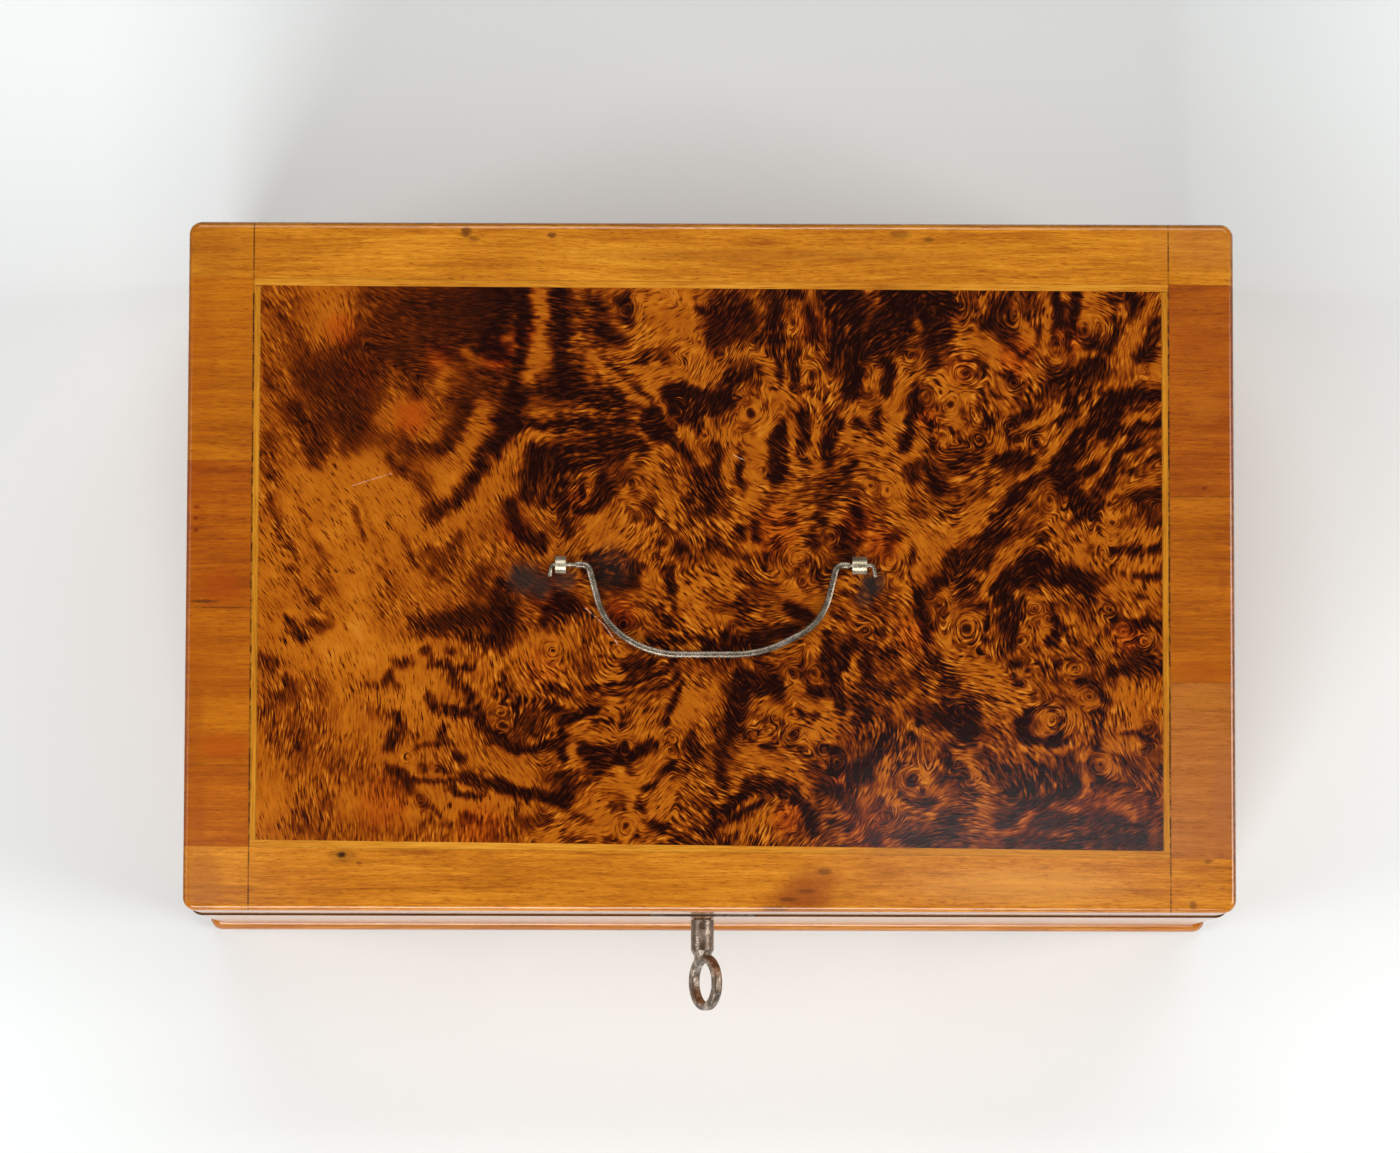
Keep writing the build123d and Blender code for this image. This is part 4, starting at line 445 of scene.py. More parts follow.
# Patches of redder wood: x, y, radius and strength.
burl_rosy = [
    (-114, 74, 5, 0.5), (-92, 47, 6, 0.6), (-66, 66.5, 6, 0.7), (-58, 73, 4, 0.6), (-84, 66, 5, 0.5),
    (-108, 60, 6, 0.35), (-28, -14, 6, 0.6), (-40, 22, 5, 0.4), (20, 12, 8, 0.4), (45, 14, 6, 0.5),
    (52, 8, 6, 0.5), (-50, -8, 6, 0.4), (62, -20, 6, 0.4), (110, 72, 5, 0.4), (94, 66, 6, 0.5),
    (100, -78, 9, 0.3), (118, -74, 9, 0.3), (134, -70, 6, 0.3), (-100, -72, 8, 0.35), (-70, -80, 8, 0.4),
    (24, -76, 5, 0.5), (48, -78, 8, 0.4), (76, 62, 5, 0.3), (40, -64, 6, 0.4), (128, -20, 5, 0.5),
    (66, 48, 4, 0.5), (-60, 12, 5, 0.5), (-52, -30, 6, 0.3), (30, 76, 5, 0.4), (4, 76, 6, 0.4),
]

# Fine scratches in the polish: start, end and width.
burl_scratches = [
    ((-38.2, -13.3), (-32.6, -18.2), 0.16), ((-32.6, -18.2), (-28.4, -24.2), 0.2),
    ((7, 34), (10.4, 32.4), 0.14), ((-110, 24.2), (-98, 28), 0.1),
]

# Stains and marks: x, y, radius and strength.
burl_stains = [
    (-57, -3, 5, 0.9), (-52, -5, 4, 0.8), (-45, -3, 3.5, 0.7), (49, -4, 4.2, 0.85), (47, -8, 3, 0.6),
    (-31, 1, 7, 0.35),
]


def lattice_noise(seed, *place):
    """Smooth noise from -1 to 1 over a repeating lattice; the place is given in lattice steps."""
    values = np.random.RandomState(seed).rand(*[lattice_size] * len(place)) * 2 - 1
    cells = [np.floor(p).astype(int) for p in place]
    eased = [(p - c) ** 2 * (3 - 2 * (p - c)) for p, c in zip(place, cells)]
    total = 0
    for corner in np.ndindex(*[2] * len(place)):
        weight = 1
        for side, t in zip(corner, eased):
            weight = weight * (t if side else 1 - t)
        total = total + weight * values[tuple((c + side) % lattice_size for c, side in zip(cells, corner))]
    return total


def layered(seed, x, y, *layers):
    """Noise of several sizes added up: for each layer, its amount and its size in millimetres."""
    total = 0
    for n, (amount, size) in enumerate(layers):
        total = total + amount * lattice_noise(seed + n, x / size, y / size)
    return total


def streaks_along(seed, x, y, across, long, thin):
    """Streaks along the fibres, long millimetres by 1 / thin, and finer ones of half that size."""
    coarse = lattice_noise(seed, x / long, y / long, across * thin)
    fine = lattice_noise(seed + 10, 2 * x / long, 2 * y / long, across * 2 * thin)
    return coarse + 0.6 * fine


def part_way(value, start, end):
    """How far the value is on its way from start to end, from 0 to 1."""
    return np.clip((value - start) / (end - start), 0, 1)


def line_distance(x, y, points):
    """Distance from each place to a line through the points."""
    best = np.full(x.shape, 1e9)
    pairs = list(zip(points[:-1], points[1:])) or [(points[0], points[0])]
    for (ax, ay), (bx, by) in pairs:
        dx, dy = bx - ax, by - ay
        length = dx * dx + dy * dy
        t = 0 if length == 0 else np.clip(((x - ax) * dx + (y - ay) * dy) / length, 0, 1)
        best = np.minimum(best, np.hypot(x - ax - t * dx, y - ay - t * dy))
    return best


def laid(strokes, place_x, place_y, slide_x, slide_y):
    """How far the strokes cover each place, from 0 to 1; broad ones are drawn out along the fibres."""
    clear = np.ones(place_x.shape)
    for strength, half_width, soft, *line in strokes:
        drawn = min(1, half_width / thin_stroke) ** 1.5
        x = place_x + drawn * slide_x
        y = place_y + drawn * slide_y
        soft = 1.1 * soft + 0.1
        reach = half_width + soft
        px, py = line[::2], line[1::2]
        near = (x > min(px) - reach) & (x < max(px) + reach) & (y > min(py) - reach) & (y < max(py) + reach)
        gap = line_distance(x[near], y[near], list(zip(px, py)))
        cover = np.clip((reach - gap) / (2 * soft), 0, 1)
        clear[near] *= 1 - strength * cover * cover * (3 - 2 * cover)
    return 1 - clear


def headed(angles, places):
    """Unit normals of the fibres, each turned end for end to agree with its neighbours."""
    far_bond = 1e-4
    normals = np.stack([-np.sin(angles), np.cos(angles)], -1)
    alike = normals @ normals.T
    gaps = ((places[:, None] - places[None]) ** 2).sum(-1)
    bond = np.abs(alike) * (np.exp(-gaps / (2 * heading_reach ** 2)) + far_bond / (1 + gaps))
    settled = np.zeros(len(places), bool)
    settled[0] = True
    for _ in range(len(places) - 1):
        open_bonds = np.where(settled[:, None] & ~settled[None], bond, -1)
        near, new = np.unravel_index(np.argmax(open_bonds), bond.shape)
        if normals[near] @ normals[new] < 0:
            normals[new] = -normals[new]
        settled[new] = True
    return normals


def fibre_field(x, y):
    """The normal to the fibres, the ground's darkness and the fibres' strength."""
    far_weight = 1e-6
    normals = headed(np.radians([f[2] for f in burl_fibres]), np.array([f[:2] for f in burl_fibres]))
    weight = np.zeros(x.shape)
    sums = [np.zeros(x.shape) for _ in range(6)]
    for (px, py, angle, shade, show), normal in zip(burl_fibres, normals):
        gap = (x - px) ** 2 + (y - py) ** 2
        w = np.exp(-gap / (2 * fibre_spread * fibre_spread)) + far_weight / (1 + gap)
        turn = math.radians(2 * angle)
        weight += w
        for total, value in zip(sums, (math.cos(turn), math.sin(turn), *normal, shade, show)):
            total += w * value
    angle = np.arctan2(sums[1], sums[0]) / 2
    normal_x, normal_y = -np.sin(angle), np.cos(angle)
    way = np.where(normal_x * sums[2] + normal_y * sums[3] < 0, -1, 1)
    back_left = part_way(x, -40, -60) * part_way(y, 25, 45)
    return way * normal_x, way * normal_y, sums[4] / weight, sums[5] / weight * (1 - 0.25 * back_left)


def around_eyes(x, y, normal_x, normal_y):
    """The normals turned outwards round each eye, so that the fibres run round it."""
    for px, py, _, ring, tall in burl_eyes:
        turn = 0.5 * math.sin(3 * px + py)
        dx = x - px
        dy = (y - py) / tall
        dx, dy = dx * math.cos(turn) - dy * math.sin(turn), dx * math.sin(turn) + dy * math.cos(turn)
        gap = np.hypot(dx, dy) + 1e-6
        inside = part_way(gap, 1.35 * ring, 0.85 * ring)
        normal_x = normal_x * (1 - inside) + dx / gap * inside
        normal_y = normal_y * (1 - inside) + dy / gap / tall * inside
    return normal_x, normal_y


def surface_of(slope_x, slope_y):
    """The surface whose slopes come nearest to the given ones, both per grid cell."""
    rows, columns = slope_x.shape
    flow_x = (slope_x[:, 1:] + slope_x[:, :-1]) / 2
    flow_y = (slope_y[1:] + slope_y[:-1]) / 2
    spread = np.zeros((rows, columns))
    spread[:, :-1] += flow_x
    spread[:, 1:] -= flow_x
    spread[:-1] += flow_y
    spread[1:] -= flow_y
    mirrored = np.hstack([spread, spread[:, ::-1]])
    mirrored = np.vstack([mirrored, mirrored[::-1]])
    wave_x = np.cos(2 * math.pi * np.fft.rfftfreq(2 * columns))[None]
    wave_y = np.cos(2 * math.pi * np.fft.fftfreq(2 * rows))[:, None]
    stiffness = 2 * wave_x + 2 * wave_y - 4
    stiffness[0, 0] = 1
    waves = np.fft.rfft2(mirrored) / stiffness
    waves[0, 0] = 0
    return np.fft.irfft2(waves, s=mirrored.shape)[:rows, :columns]


def across_fibres(normal_x, normal_y):
    """Millimetres counted across the fibres: a surface that climbs along the normals, either way round."""
    for _ in range(heading_rounds):
        climb = surface_of(normal_x * figure_cell, normal_y * figure_cell)
        slope_y, slope_x = np.gradient(climb)
        way = np.where(normal_x * slope_x + normal_y * slope_y < 0, -1, 1)
        normal_x, normal_y = way * normal_x, way * normal_y
    return climb


def eye_marks(x, y, uneven):
    """The eyes' rings, as a change of shade, and their pupils."""
    rings = np.zeros(x.shape)
    pupil = np.zeros(x.shape)
    for px, py, radius, ring, tall in burl_eyes:
        gap = np.hypot(x - px, (y - py) / tall) + ring_wobble * uneven
        lines = -np.cos(gap / ring * 2 * math.pi * max(1.0, round(ring / ring_spacing)))
        band = part_way(gap, ring, 0.7 * ring) * part_way(gap, radius, radius + 0.8)
        rings = rings + band * lines * (0.11 + 0.13 * uneven)
        pupil = np.maximum(pupil, pupil_shade * part_way(gap, radius + 0.4, radius - 0.6))
    return rings, pupil


def soft_spots(x, y, spots):
    """How strongly the round spots cover each place."""
    cover = np.zeros(x.shape)
    for px, py, radius, amount in spots:
        gap = np.hypot(x - px, y - py) / radius
        cover = np.maximum(cover, amount * np.exp(-gap ** 4))
    return cover


def ground_shade(x, y, mottle):
    """What is added to the ground's darkness: mottling, calm at the far left, clouds, darker regions."""
    busy = np.maximum(part_way(x, -70, -35), 0.15)
    right = part_way(x, 30, 60)
    front_right = part_way(x, 20, 50) * part_way(y, 5, -15)
    front = part_way(y, -42, -52)
    clouds = layered(5, x, y, (0.07, 9), (0.05, 3.5))
    return busy * (0.2 * mottle + 0.03) + 0.03 * right + clouds + 0.06 * np.maximum(front_right, front)


def burl_fields(x, y):
    """The burl's figure: shade, millimetres across the fibres, their strength, pupil, stain and redness."""
    x = x - figure_shift[0]
    y = y - figure_shift[1]
    bend_x, bend_y = (layered(seed, x, y, (0.7, 5), (0.35, 2)) for seed in (1, 3))
    bent_x, bent_y = x + bend_x, y + bend_y
    normal_x, normal_y, ground, strength = fibre_field(x, y)
    normal_x, normal_y = around_eyes(bent_x, bent_y, normal_x, normal_y)
    across = across_fibres(normal_x, normal_y)
    rings, pupil = eye_marks(bent_x, bent_y, lattice_noise(12, x / 2.5, y / 2.5))
    locks = streaks_along(8, x, y, across, 5, 1.1)
    tufts = streaks_along(9, x, y, across, 10, 0.45)
    slide = 1.2 * locks + 0.85 * tufts
    slide_x, slide_y = slide * normal_y, -slide * normal_x
    dark, pale = (laid(strokes, bent_x, bent_y, slide_x, slide_y) for strokes in (burl_dark, burl_pale))
    mottle_x = bent_x + 0.6 * bend_x + 0.7 * slide_x
    mottle_y = bent_y + 0.6 * bend_y + 0.7 * slide_y
    ground = ground + ground_shade(x, y, layered(13, mottle_x, mottle_y, (1, 3.4), (0.7, 1.7)))
    ground = ground + strength * (0.07 * locks + 0.045 * tufts)
    deepest = deepest_shade - deepest_left * part_way(x, -60, -80)
    shade = ground + (deepest - ground) * dark
    shade = shade + (pale_shade - shade) * pale_cover * pale + rings
    stain, rosy = (soft_spots(bent_x, bent_y, spots) for spots in (burl_stains, burl_rosy))
    return shade, across, strength, pupil, stain, rosy


def sampled(field, x, y, x0, y0, step):
    """A grid's values at the given places."""
    u = np.clip((x - x0) / step, 0, field.shape[1] - 1.001)
    v = np.clip((y - y0) / step, 0, field.shape[0] - 1.001)
    column, row = u.astype(int), v.astype(int)
    s, t = u - column, v - row
    near = field[row, column] * (1 - s) + field[row, column + 1] * s
    far = field[row + 1, column] * (1 - s) + field[row + 1, column + 1] * s
    return near * (1 - t) + far * t


# ---------------------------------------------------------------- node helpers
def linear(red, green, blue):
    """A colour given as 0 to 255 display values, as the shader wants it."""
    values = [v / 255 for v in (red, green, blue)]
    return tuple(v / 12.92 if v <= 0.04045 else ((v + 0.055) / 1.055) ** 2.4 for v in values) + (1.0,)


class Paint:
    """One material's node tree, with short names for the nodes used here."""

    def __init__(self, name):
        self.material = bpy.data.materials.new(name)
        self.material.use_nodes = True
        self.tree = self.material.node_tree
        self.shader = self.tree.nodes["Principled BSDF"]

    def feed(self, socket, value):
        if isinstance(value, bpy.types.NodeSocket):
            self.tree.links.new(value, socket)
        else:
            socket.default_value = value

    def node(self, kind, inputs=(), **settings):
        made = self.tree.nodes.new(kind)
        for name, value in settings.items():
            setattr(made, name, value)
        for name, value in dict(inputs).items():
            self.feed(made.inputs[name], value)
        return made

    def math(self, operation, a, b=0.0):
        return self.node("ShaderNodeMath", {0: a, 1: b}, operation=operation).outputs[0]

    def add(self, first, *others):
        for other in others:
            first = self.math("ADD", first, other)
        return first

    def times(self, a, b):
        return self.math("MULTIPLY", a, b)

    def centred(self, noise):
        """Noise with its middle at 0."""
        return self.add(noise, -0.5)

    def vector(self, operation, inputs):
        return self.node("ShaderNodeVectorMath", inputs, operation=operation).outputs[0]

    def place(self):
        """Millimetres in the piece's own frame."""
        here = self.node("ShaderNodeTexCoord").outputs["Object"]
        return self.vector("SCALE", {0: here, "Scale": 1 / mm})

    def split(self, vector):
        return self.node("ShaderNodeSeparateXYZ", {0: vector}).outputs

    def joined(self, x, y, z):
        return self.node("ShaderNodeCombineXYZ", {0: x, 1: y, 2: z}).outputs[0]

    def stretched(self, vector, turn, size, shift=(0, 0, 0)):
        """The place turned about Z and divided by size, so that a pattern is that long along each axis."""
        inputs = {0: vector, 1: shift, 2: (0, 0, turn), 3: size}
        return self.node("ShaderNodeMapping", inputs, vector_type="TEXTURE").outputs[0]

    def noise(self, vector, scale=1.0, detail=2.0, rough=0.5):
        inputs = {"Vector": vector, "Scale": scale, "Detail": detail, "Roughness": rough}
        return self.node("ShaderNodeTexNoise", inputs).outputs[0]

    def attribute(self, name):
        """A figure attribute of the burl panel's mesh."""
        return self.node("ShaderNodeAttribute", attribute_name=name).outputs["Fac"]

    def span(self, value, low, high, to_low=0.0, to_high=1.0):
        """A soft step from to_low, where the value is low, to to_high, where it is high."""
        inputs = {0: value, 1: low, 2: high, 3: to_low, 4: to_high}
        return self.node("ShaderNodeMapRange", inputs, interpolation_type="SMOOTHSTEP").outputs[0]

    def ramp(self, value, stops):
        made = self.node("ShaderNodeValToRGB", {0: value})
        points = made.color_ramp.elements
        while len(points) < len(stops):
            points.new(0.5)
        for point, (at, colour) in zip(points, stops):
            point.position = at
            point.color = linear(*colour)
        return made.outputs[0]

    def mix(self, amount, a, b, blend="MIX"):
        made = self.node("ShaderNodeMix", data_type="RGBA", blend_type=blend)
        for socket, value in ((made.inputs[0], amount), (made.inputs[6], a), (made.inputs[7], b)):
            self.feed(socket, value)
        return made.outputs[2]

    def bump(self, height, strength, distance):
        inputs = {"Height": height, "Strength": strength, "Distance": distance * mm}
        return self.node("ShaderNodeBump", inputs).outputs[0]

    def finish(self, **inputs):
        for name, value in inputs.items():
            self.feed(self.shader.inputs[name.replace("_", " ")], value)
        return self.material


# ---------------------------------------------------------------- materials
burl_tones = [
    (0.0, (206, 128, 36)), (0.2, (184, 101, 14)), (0.4, (146, 68, 4)), (0.56, (108, 42, 0)),
    (0.72, (75, 24, 0)), (0.86, (46, 12, 0)), (1.0, (24, 2, 0)),
]
burl_ruddy = (252, 176, 130)    # laid over the rosy patches
stain_colour = (40, 34, 30)
scratch_colour = (226, 168, 140)
# dark glue lines at the joints, also used as a painted dark reflection along the lid's back, left and right
# edges
glue_and_edge_reflection_colour = (44, 18, 4)
inside_tint = (236, 214, 190)   # laid over the unpolished faces inside the box
# painted shadow of the gap between lid and body, along the case's seam
seam_shadow_colour = (52, 34, 22)
rust_colour = (88, 58, 38)
grain_sway = 5                  # how far the grain wavers from side to side


def burl_hairs(paint, place, shade):
    """Fine hairs along the fibres, as a change of shade; sparse, dark ones where the wood is pale."""
    x, y, _ = paint.split(place)
    across = paint.times(paint.attribute("across"), 2.2)
    along = paint.joined(paint.times(x, 0.28), paint.times(y, 0.28), across)
    hairs = paint.times(paint.centred(paint.noise(along, 1.0, 1.0, 0.65)), hair_contrast)
    patchy = paint.span(paint.noise(place, 0.11, 2.0, 0.6), 0.36, 0.64, 0.2, 1.4)
    calm = paint.span(shade, 0.34, 0.12)
    sparse = paint.times(paint.math("MAXIMUM", paint.add(hairs, -0.12), 0.0), paint.times(patchy, 2.6))
    even = paint.times(hairs, paint.span(patchy, 0.2, 1.4, 0.7, 1.4))
    even = paint.times(even, paint.span(calm, 0.0, 1.0, 1.0, 0.2))
    return paint.times(paint.add(even, paint.times(sparse, calm)), paint.attribute("show"))


def scratch_cover(paint, place, start, end, width):
    """Cover of a thin straight scratch, broken along its length."""
    x, y, _ = paint.split(place)
    (ax, ay), (bx, by) = start, end
    length = math.hypot(bx - ax, by - ay)
    ux, uy = (bx - ax) / length, (by - ay) / length
    x = paint.add(x, -ax)
    y = paint.add(y, -ay)
    along = paint.add(paint.times(x, ux), paint.times(y, uy))
    away = paint.math("ABSOLUTE", paint.add(paint.times(x, -uy), paint.times(y, ux)))
    over = paint.math("MAXIMUM", paint.times(along, -1.0), paint.add(along, -length))
    gap = paint.math("MAXIMUM", away, over)
    broken = paint.span(paint.noise(place, 1.3, 2.0), 0.38, 0.56, 0.1, 0.9)
    return paint.times(paint.span(gap, width * 1.5, width * 0.5), broken)


def burl_material():
    """Polished burl, whose figure comes with the panel's mesh."""
    paint = Paint("burl_veneer")
    place = paint.place()
    shade = paint.attribute("shade")
    grit = paint.times(paint.centred(paint.noise(place, 1.7, 3.0, 0.7)), 0.17)
    tone = paint.add(paint.add(shade, burl_hairs(paint, place, shade)), paint.add(grit, burl_depth))
    tone = paint.math("MAXIMUM", tone, paint.attribute("pupil"))
    colour = paint.ramp(tone, burl_tones)
    ruddy = paint.mix(1.0, colour, linear(*burl_ruddy), "MULTIPLY")
    colour = paint.mix(paint.attribute("rosy"), colour, ruddy)
    colour = paint.mix(paint.attribute("stain"), colour, linear(*stain_colour))
    for start, end, width in burl_scratches:
        colour = paint.mix(scratch_cover(paint, place, start, end, width), colour, linear(*scratch_colour))
    fine = paint.noise(paint.stretched(place, 0.0, (9.0, 0.5, 1.0)), 1.0, 3.0, 0.7)
    height = paint.add(paint.times(fine, 0.5), paint.noise(place, 0.05, 2.0))
    rubbing = paint.noise(paint.stretched(place, 0.02, (14.0, 0.4, 1.0)), 1.0, 2.0, 0.7)
    return paint.finish(
        Base_Color=colour,
        Roughness=paint.span(fine, 0.3, 0.7, 0.34, 0.5),
        Specular_IOR_Level=0.04,
        Normal=paint.bump(height, 0.25, 0.12),
        Coat_Normal=paint.bump(rubbing, 0.3, 0.02),
        Coat_Weight=1.0,
        Coat_Roughness=0.09,
        Coat_IOR=1.5,
    )


def wood_tone(paint, place, turn, figure, shift, length):
    """The wood's tone from 0, pale, to 1, deep, and the grain and clouds that are part of it."""
    waver = paint.noise(paint.stretched(place, turn, (70, 25, 25), (shift, 0, 0)), 1.0, 1.0)
    aside = (-grain_sway * math.sin(turn), grain_sway * math.cos(turn), 0)
    aside = paint.vector("SCALE", {0: aside, "Scale": waver})
    wavy = paint.vector("ADD", {0: place, 1: aside})

    def streaks(long, thick, moved, detail=3.0, rough=0.6):
        size = (long * length, thick, thick)
        return paint.noise(paint.stretched(wavy, turn, size, moved), 1.0, detail, rough)

    bands = streaks(110, 2.6, (shift, shift * 0.7, shift * 1.3), 3.0, 0.55)
    grain = streaks(26, 0.75, (shift * 2, shift, 0))
    dashes = streaks(7, 0.36, (0, shift, 0), 2.0)
    flecks = streaks(5, 0.28, (shift, 0, 0), 2.0)
    clouds = paint.noise(paint.stretched(place, turn, (38, 10, 10), (shift, 0, shift)), 1.0, 2.0, 0.5)
    amounts = ((bands, 2.0 * figure), (grain, 1.5 * figure + 0.3), (clouds, 1.6 * figure), (dashes, 0.6))
    tone = paint.add(
        *[paint.times(paint.centred(pattern), amount) for pattern, amount in amounts],
        paint.times(paint.span(dashes, 0.58, 0.72), 0.8 * figure),
        paint.times(paint.span(flecks, 0.6, 0.74), -0.6 * figure),
        0.5,
    )
    return tone, grain, clouds


def patched(paint, place, colour, grain, patches):
    """The colour with soft oval patches: middle, half length, half width, strength and tint of each."""
    x, y, _ = paint.split(place)
    ragged = paint.add(paint.noise(place, 0.8, 3.0, 0.65), grain, -1.0)
    for at_x, at_y, wide, tall, strength, tint in patches:
        dx = paint.times(paint.add(x, -at_x), 1 / wide)
        dy = paint.times(paint.add(y, -at_y), 1 / tall)
        gap = paint.math("SQRT", paint.add(paint.times(dx, dx), paint.times(dy, dy)))
        gap = paint.add(gap, paint.times(ragged, 0.9))
        near = paint.times(paint.span(gap, 1.35, 0.45), strength)
        colour = paint.mix(near, colour, linear(*tint))
    return colour


def glue_and_edge_reflection_lines(paint, place, colour, lines):
    """The colour with dark lines, glue lines at the joints and a painted dark reflection along the lid's
    rounded outer edges: normal, distance from the middle, half-width and strength of each.
    """
    x, y, _ = paint.split(place)
    broken = paint.span(paint.noise(place, 0.35, 3.0, 0.7), 0.35, 0.6, 0.35, 1.0)
    for (across_x, across_y), offset, half_width, strength in lines:
        away = paint.add(paint.times(x, across_x), paint.times(y, across_y), -offset)
        near = paint.span(paint.math("ABSOLUTE", away), half_width * 1.2, half_width * 0.3)
        colour = paint.mix(paint.times(paint.times(near, strength), broken), colour, linear(*glue_and_edge_reflection_colour))
    return colour


def shelled(paint, place, colour, half_x, half_y, seam):
    """The case's polish and colour: its inner faces are bare, and a painted shadow of the gap between lid
    and body lines its seam.
    """
    x, y, z = paint.split(place)

    def beyond(start, full):
        sides = [paint.span(paint.math("ABSOLUTE", at), half - start, half - full)
                 for at, half in ((x, half_x), (y, half_y))]
        return paint.math("MAXIMUM", *sides)

    coat = paint.math("MAXIMUM", beyond(3.0, 2.0), 0.06)
    colour = paint.mix(paint.span(coat, 0.9, 0.2), colour, linear(*inside_tint), "MULTIPLY")
    # painted shadow along the seam between lid and body, on the outer faces; the polish is thinner there too
    by_seam = paint.span(paint.math("ABSOLUTE", paint.add(z, -seam)), 0.8, 0.45)
    seam_shadow = paint.times(beyond(1.1, 0.7), by_seam)
    colour = paint.mix(paint.times(seam_shadow, 0.8), colour, linear(*seam_shadow_colour))
    return paint.times(coat, paint.span(seam_shadow, 0.0, 1.0, 1.0, 0.2)), colour


def wood_material(name, tones, turn=0.0, figure=0.5, gloss=0.12, shift=0.0, length=1.0,
                  lines=(), patches=(), dull=None, shell=None):
    """Polished wood of a pale, a middle and a deep tone, its grain along X turned by turn. The polish is
    worn off left of dull. A shell is the case's half length, its half width and its seam's height."""
    paint = Paint(name)
    place = paint.place()
    tone, grain, clouds = wood_tone(paint, place, turn, figure, shift, length)
    colour = paint.ramp(tone, list(zip((0.08, 0.5, 0.92), tones)))
    if patches:
        colour = patched(paint, place, colour, grain, patches)
    if lines:
        colour = glue_and_edge_reflection_lines(paint, place, colour, lines)
    coat = 1.0
    if dull is not None:
        x, _, _ = paint.split(place)
        coat = paint.span(x, dull + 0.6, dull + 2.4, 0.1, 1.0)
    if shell:
        coat, colour = shelled(paint, place, colour, *shell)
    height = paint.add(paint.times(grain, 0.4), paint.times(clouds, 0.4))
    return paint.finish(
        Base_Color=colour,
        Roughness=paint.span(grain, 0.3, 0.7, 0.34, 0.5),
        Specular_IOR_Level=0.1,
        Normal=paint.bump(height, 0.2, 0.1),
        Coat_Weight=coat,
        Coat_Roughness=gloss,
        Coat_IOR=1.5,
    )


def iron_material(name, base, bright, dark, rough=(0.28, 0.55), wear=0.5, shine=1.0, rounded=0.0, rusty=0.5):
    """Worn iron: rubbed bright in patches, dull and brown in its pits; shine is how metallic it looks."""
    paint = Paint(name)
    place = paint.place()
    patches = paint.noise(place, 0.35, 4.0, 0.65)
    pits = paint.noise(place, 2.2, 3.0, 0.7)
    strokes = paint.noise(paint.stretched(place, 0.4, (3.0, 0.25, 0.25)), 1.0, 3.0, 0.7)
    rubbed = paint.add(paint.times(patches, 0.6), paint.times(strokes, 0.4))
    worn = paint.span(rubbed, 0.5 - 0.12 * wear, 0.62)
    colour = paint.mix(worn, linear(*base), linear(*bright))
    low = paint.span(pits, 0.42, 0.30)
    colour = paint.mix(paint.times(low, 0.85), colour, linear(*dark))
    rust = paint.span(paint.noise(place, 0.8, 4.0, 0.7), 0.58, 0.72, 0.0, rusty)
    colour = paint.mix(rust, colour, linear(*rust_colour))
    metal = paint.times(paint.span(paint.add(low, rust), 0.2, 1.0, 1.0, 0.55), shine)
    height = paint.add(paint.times(pits, 0.6), paint.times(patches, 0.8))
    normal = paint.bump(height, 0.5, 0.12)
    if rounded:
        edges = paint.node("ShaderNodeBevel", {"Radius": rounded * mm}, samples=6).outputs[0]
        paint.feed(normal.node.inputs["Normal"], edges)
    return paint.finish(
        Base_Color=colour,
        Metallic=metal,
        Roughness=paint.span(paint.add(pits, paint.times(patches, 0.5)), 0.5, 1.0, *rough),
        Normal=normal,
    )


# ---------------------------------------------------------------- pieces
corner_signs = ((-1, -1), (1, -1), (1, 1), (-1, 1))     # left front, right front, right back, left back


def corners_of(node):
    """A flat four-sided piece's top corners in millimetres, in the order of corner_signs."""
    points = [v.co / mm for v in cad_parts[node].data.vertices]
    top = max(p.z for p in points)
    points = [p for p in points if p.z > top - 0.01]
    return [max(points, key=lambda p: sx * p.x + sy * p.y) for sx, sy in corner_signs]


def leg_holes():
    """Where the staples' legs go down through the panel: each hole's X span and Y span."""
    inner = [v.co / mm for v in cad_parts["burl_panel"].data.vertices if abs(v.co.y) < 20 * mm]
    holes = []
    for sign in (-1, 1):
        side = [p for p in inner if p.x * sign > 0]
        x = (min(p.x for p in side), max(p.x for p in side))
        ys = sorted({round(p.y, 3) for p in side})
        holes += [(x, (ys[0], ys[1])), (x, (ys[2], ys[3]))]
    return holes


def snapped(lines, values):
    """Grid lines with the nearest ones moved on to the given values."""
    for value in values:
        lines[np.argmin(np.abs(lines - value))] = value
    return lines


def panel_grid(corners, height, holes):
    """A grid over the burl panel's top, bent to its corners: places, and the faces clear of the holes."""
    left_front, right_front, right_back, left_back = corners
    front = min(left_front.y, right_front.y)
    back = max(left_back.y, right_back.y)
    count_x = round((right_front.x - left_front.x) / burl_cell)
    count_y = round((left_back.y - left_front.y) / burl_cell)
    xs = snapped(np.linspace(left_front.x, right_front.x, count_x + 1), {v for h in holes for v in h[0]})
    ys = snapped(np.linspace(front, back, count_y + 1), {v for h in holes for v in h[1]})
    x, y = np.meshgrid(xs, ys)
    share = (x - left_front.x) / (right_front.x - left_front.x)
    front_edge = left_front.y + (right_front.y - left_front.y) * share
    back_edge = left_back.y + (right_back.y - left_back.y) * share
    y = y + (front_edge - front) * np.clip(1 - (y - front) / panel_fade, 0, 1)
    y = y + (back_edge - back) * np.clip(1 - (back - y) / panel_fade, 0, 1)
    points = np.stack([x, y, np.full(x.shape, height)], -1).reshape(-1, 3)
    count = len(xs)
    row, column = np.meshgrid(np.arange(len(ys) - 1), np.arange(count - 1), indexing="ij")
    first = (row * count + column).reshape(-1)
    faces = np.stack([first, first + 1, first + count + 1, first + count], -1)
    middle = points[faces].mean(1)
    kept = np.ones(len(faces), bool)
    for (x0, x1), (y0, y1) in holes:
        kept &= ~((middle[:, 0] > x0) & (middle[:, 0] < x1) & (middle[:, 1] > y0) & (middle[:, 1] < y1))
    return points, faces[kept]


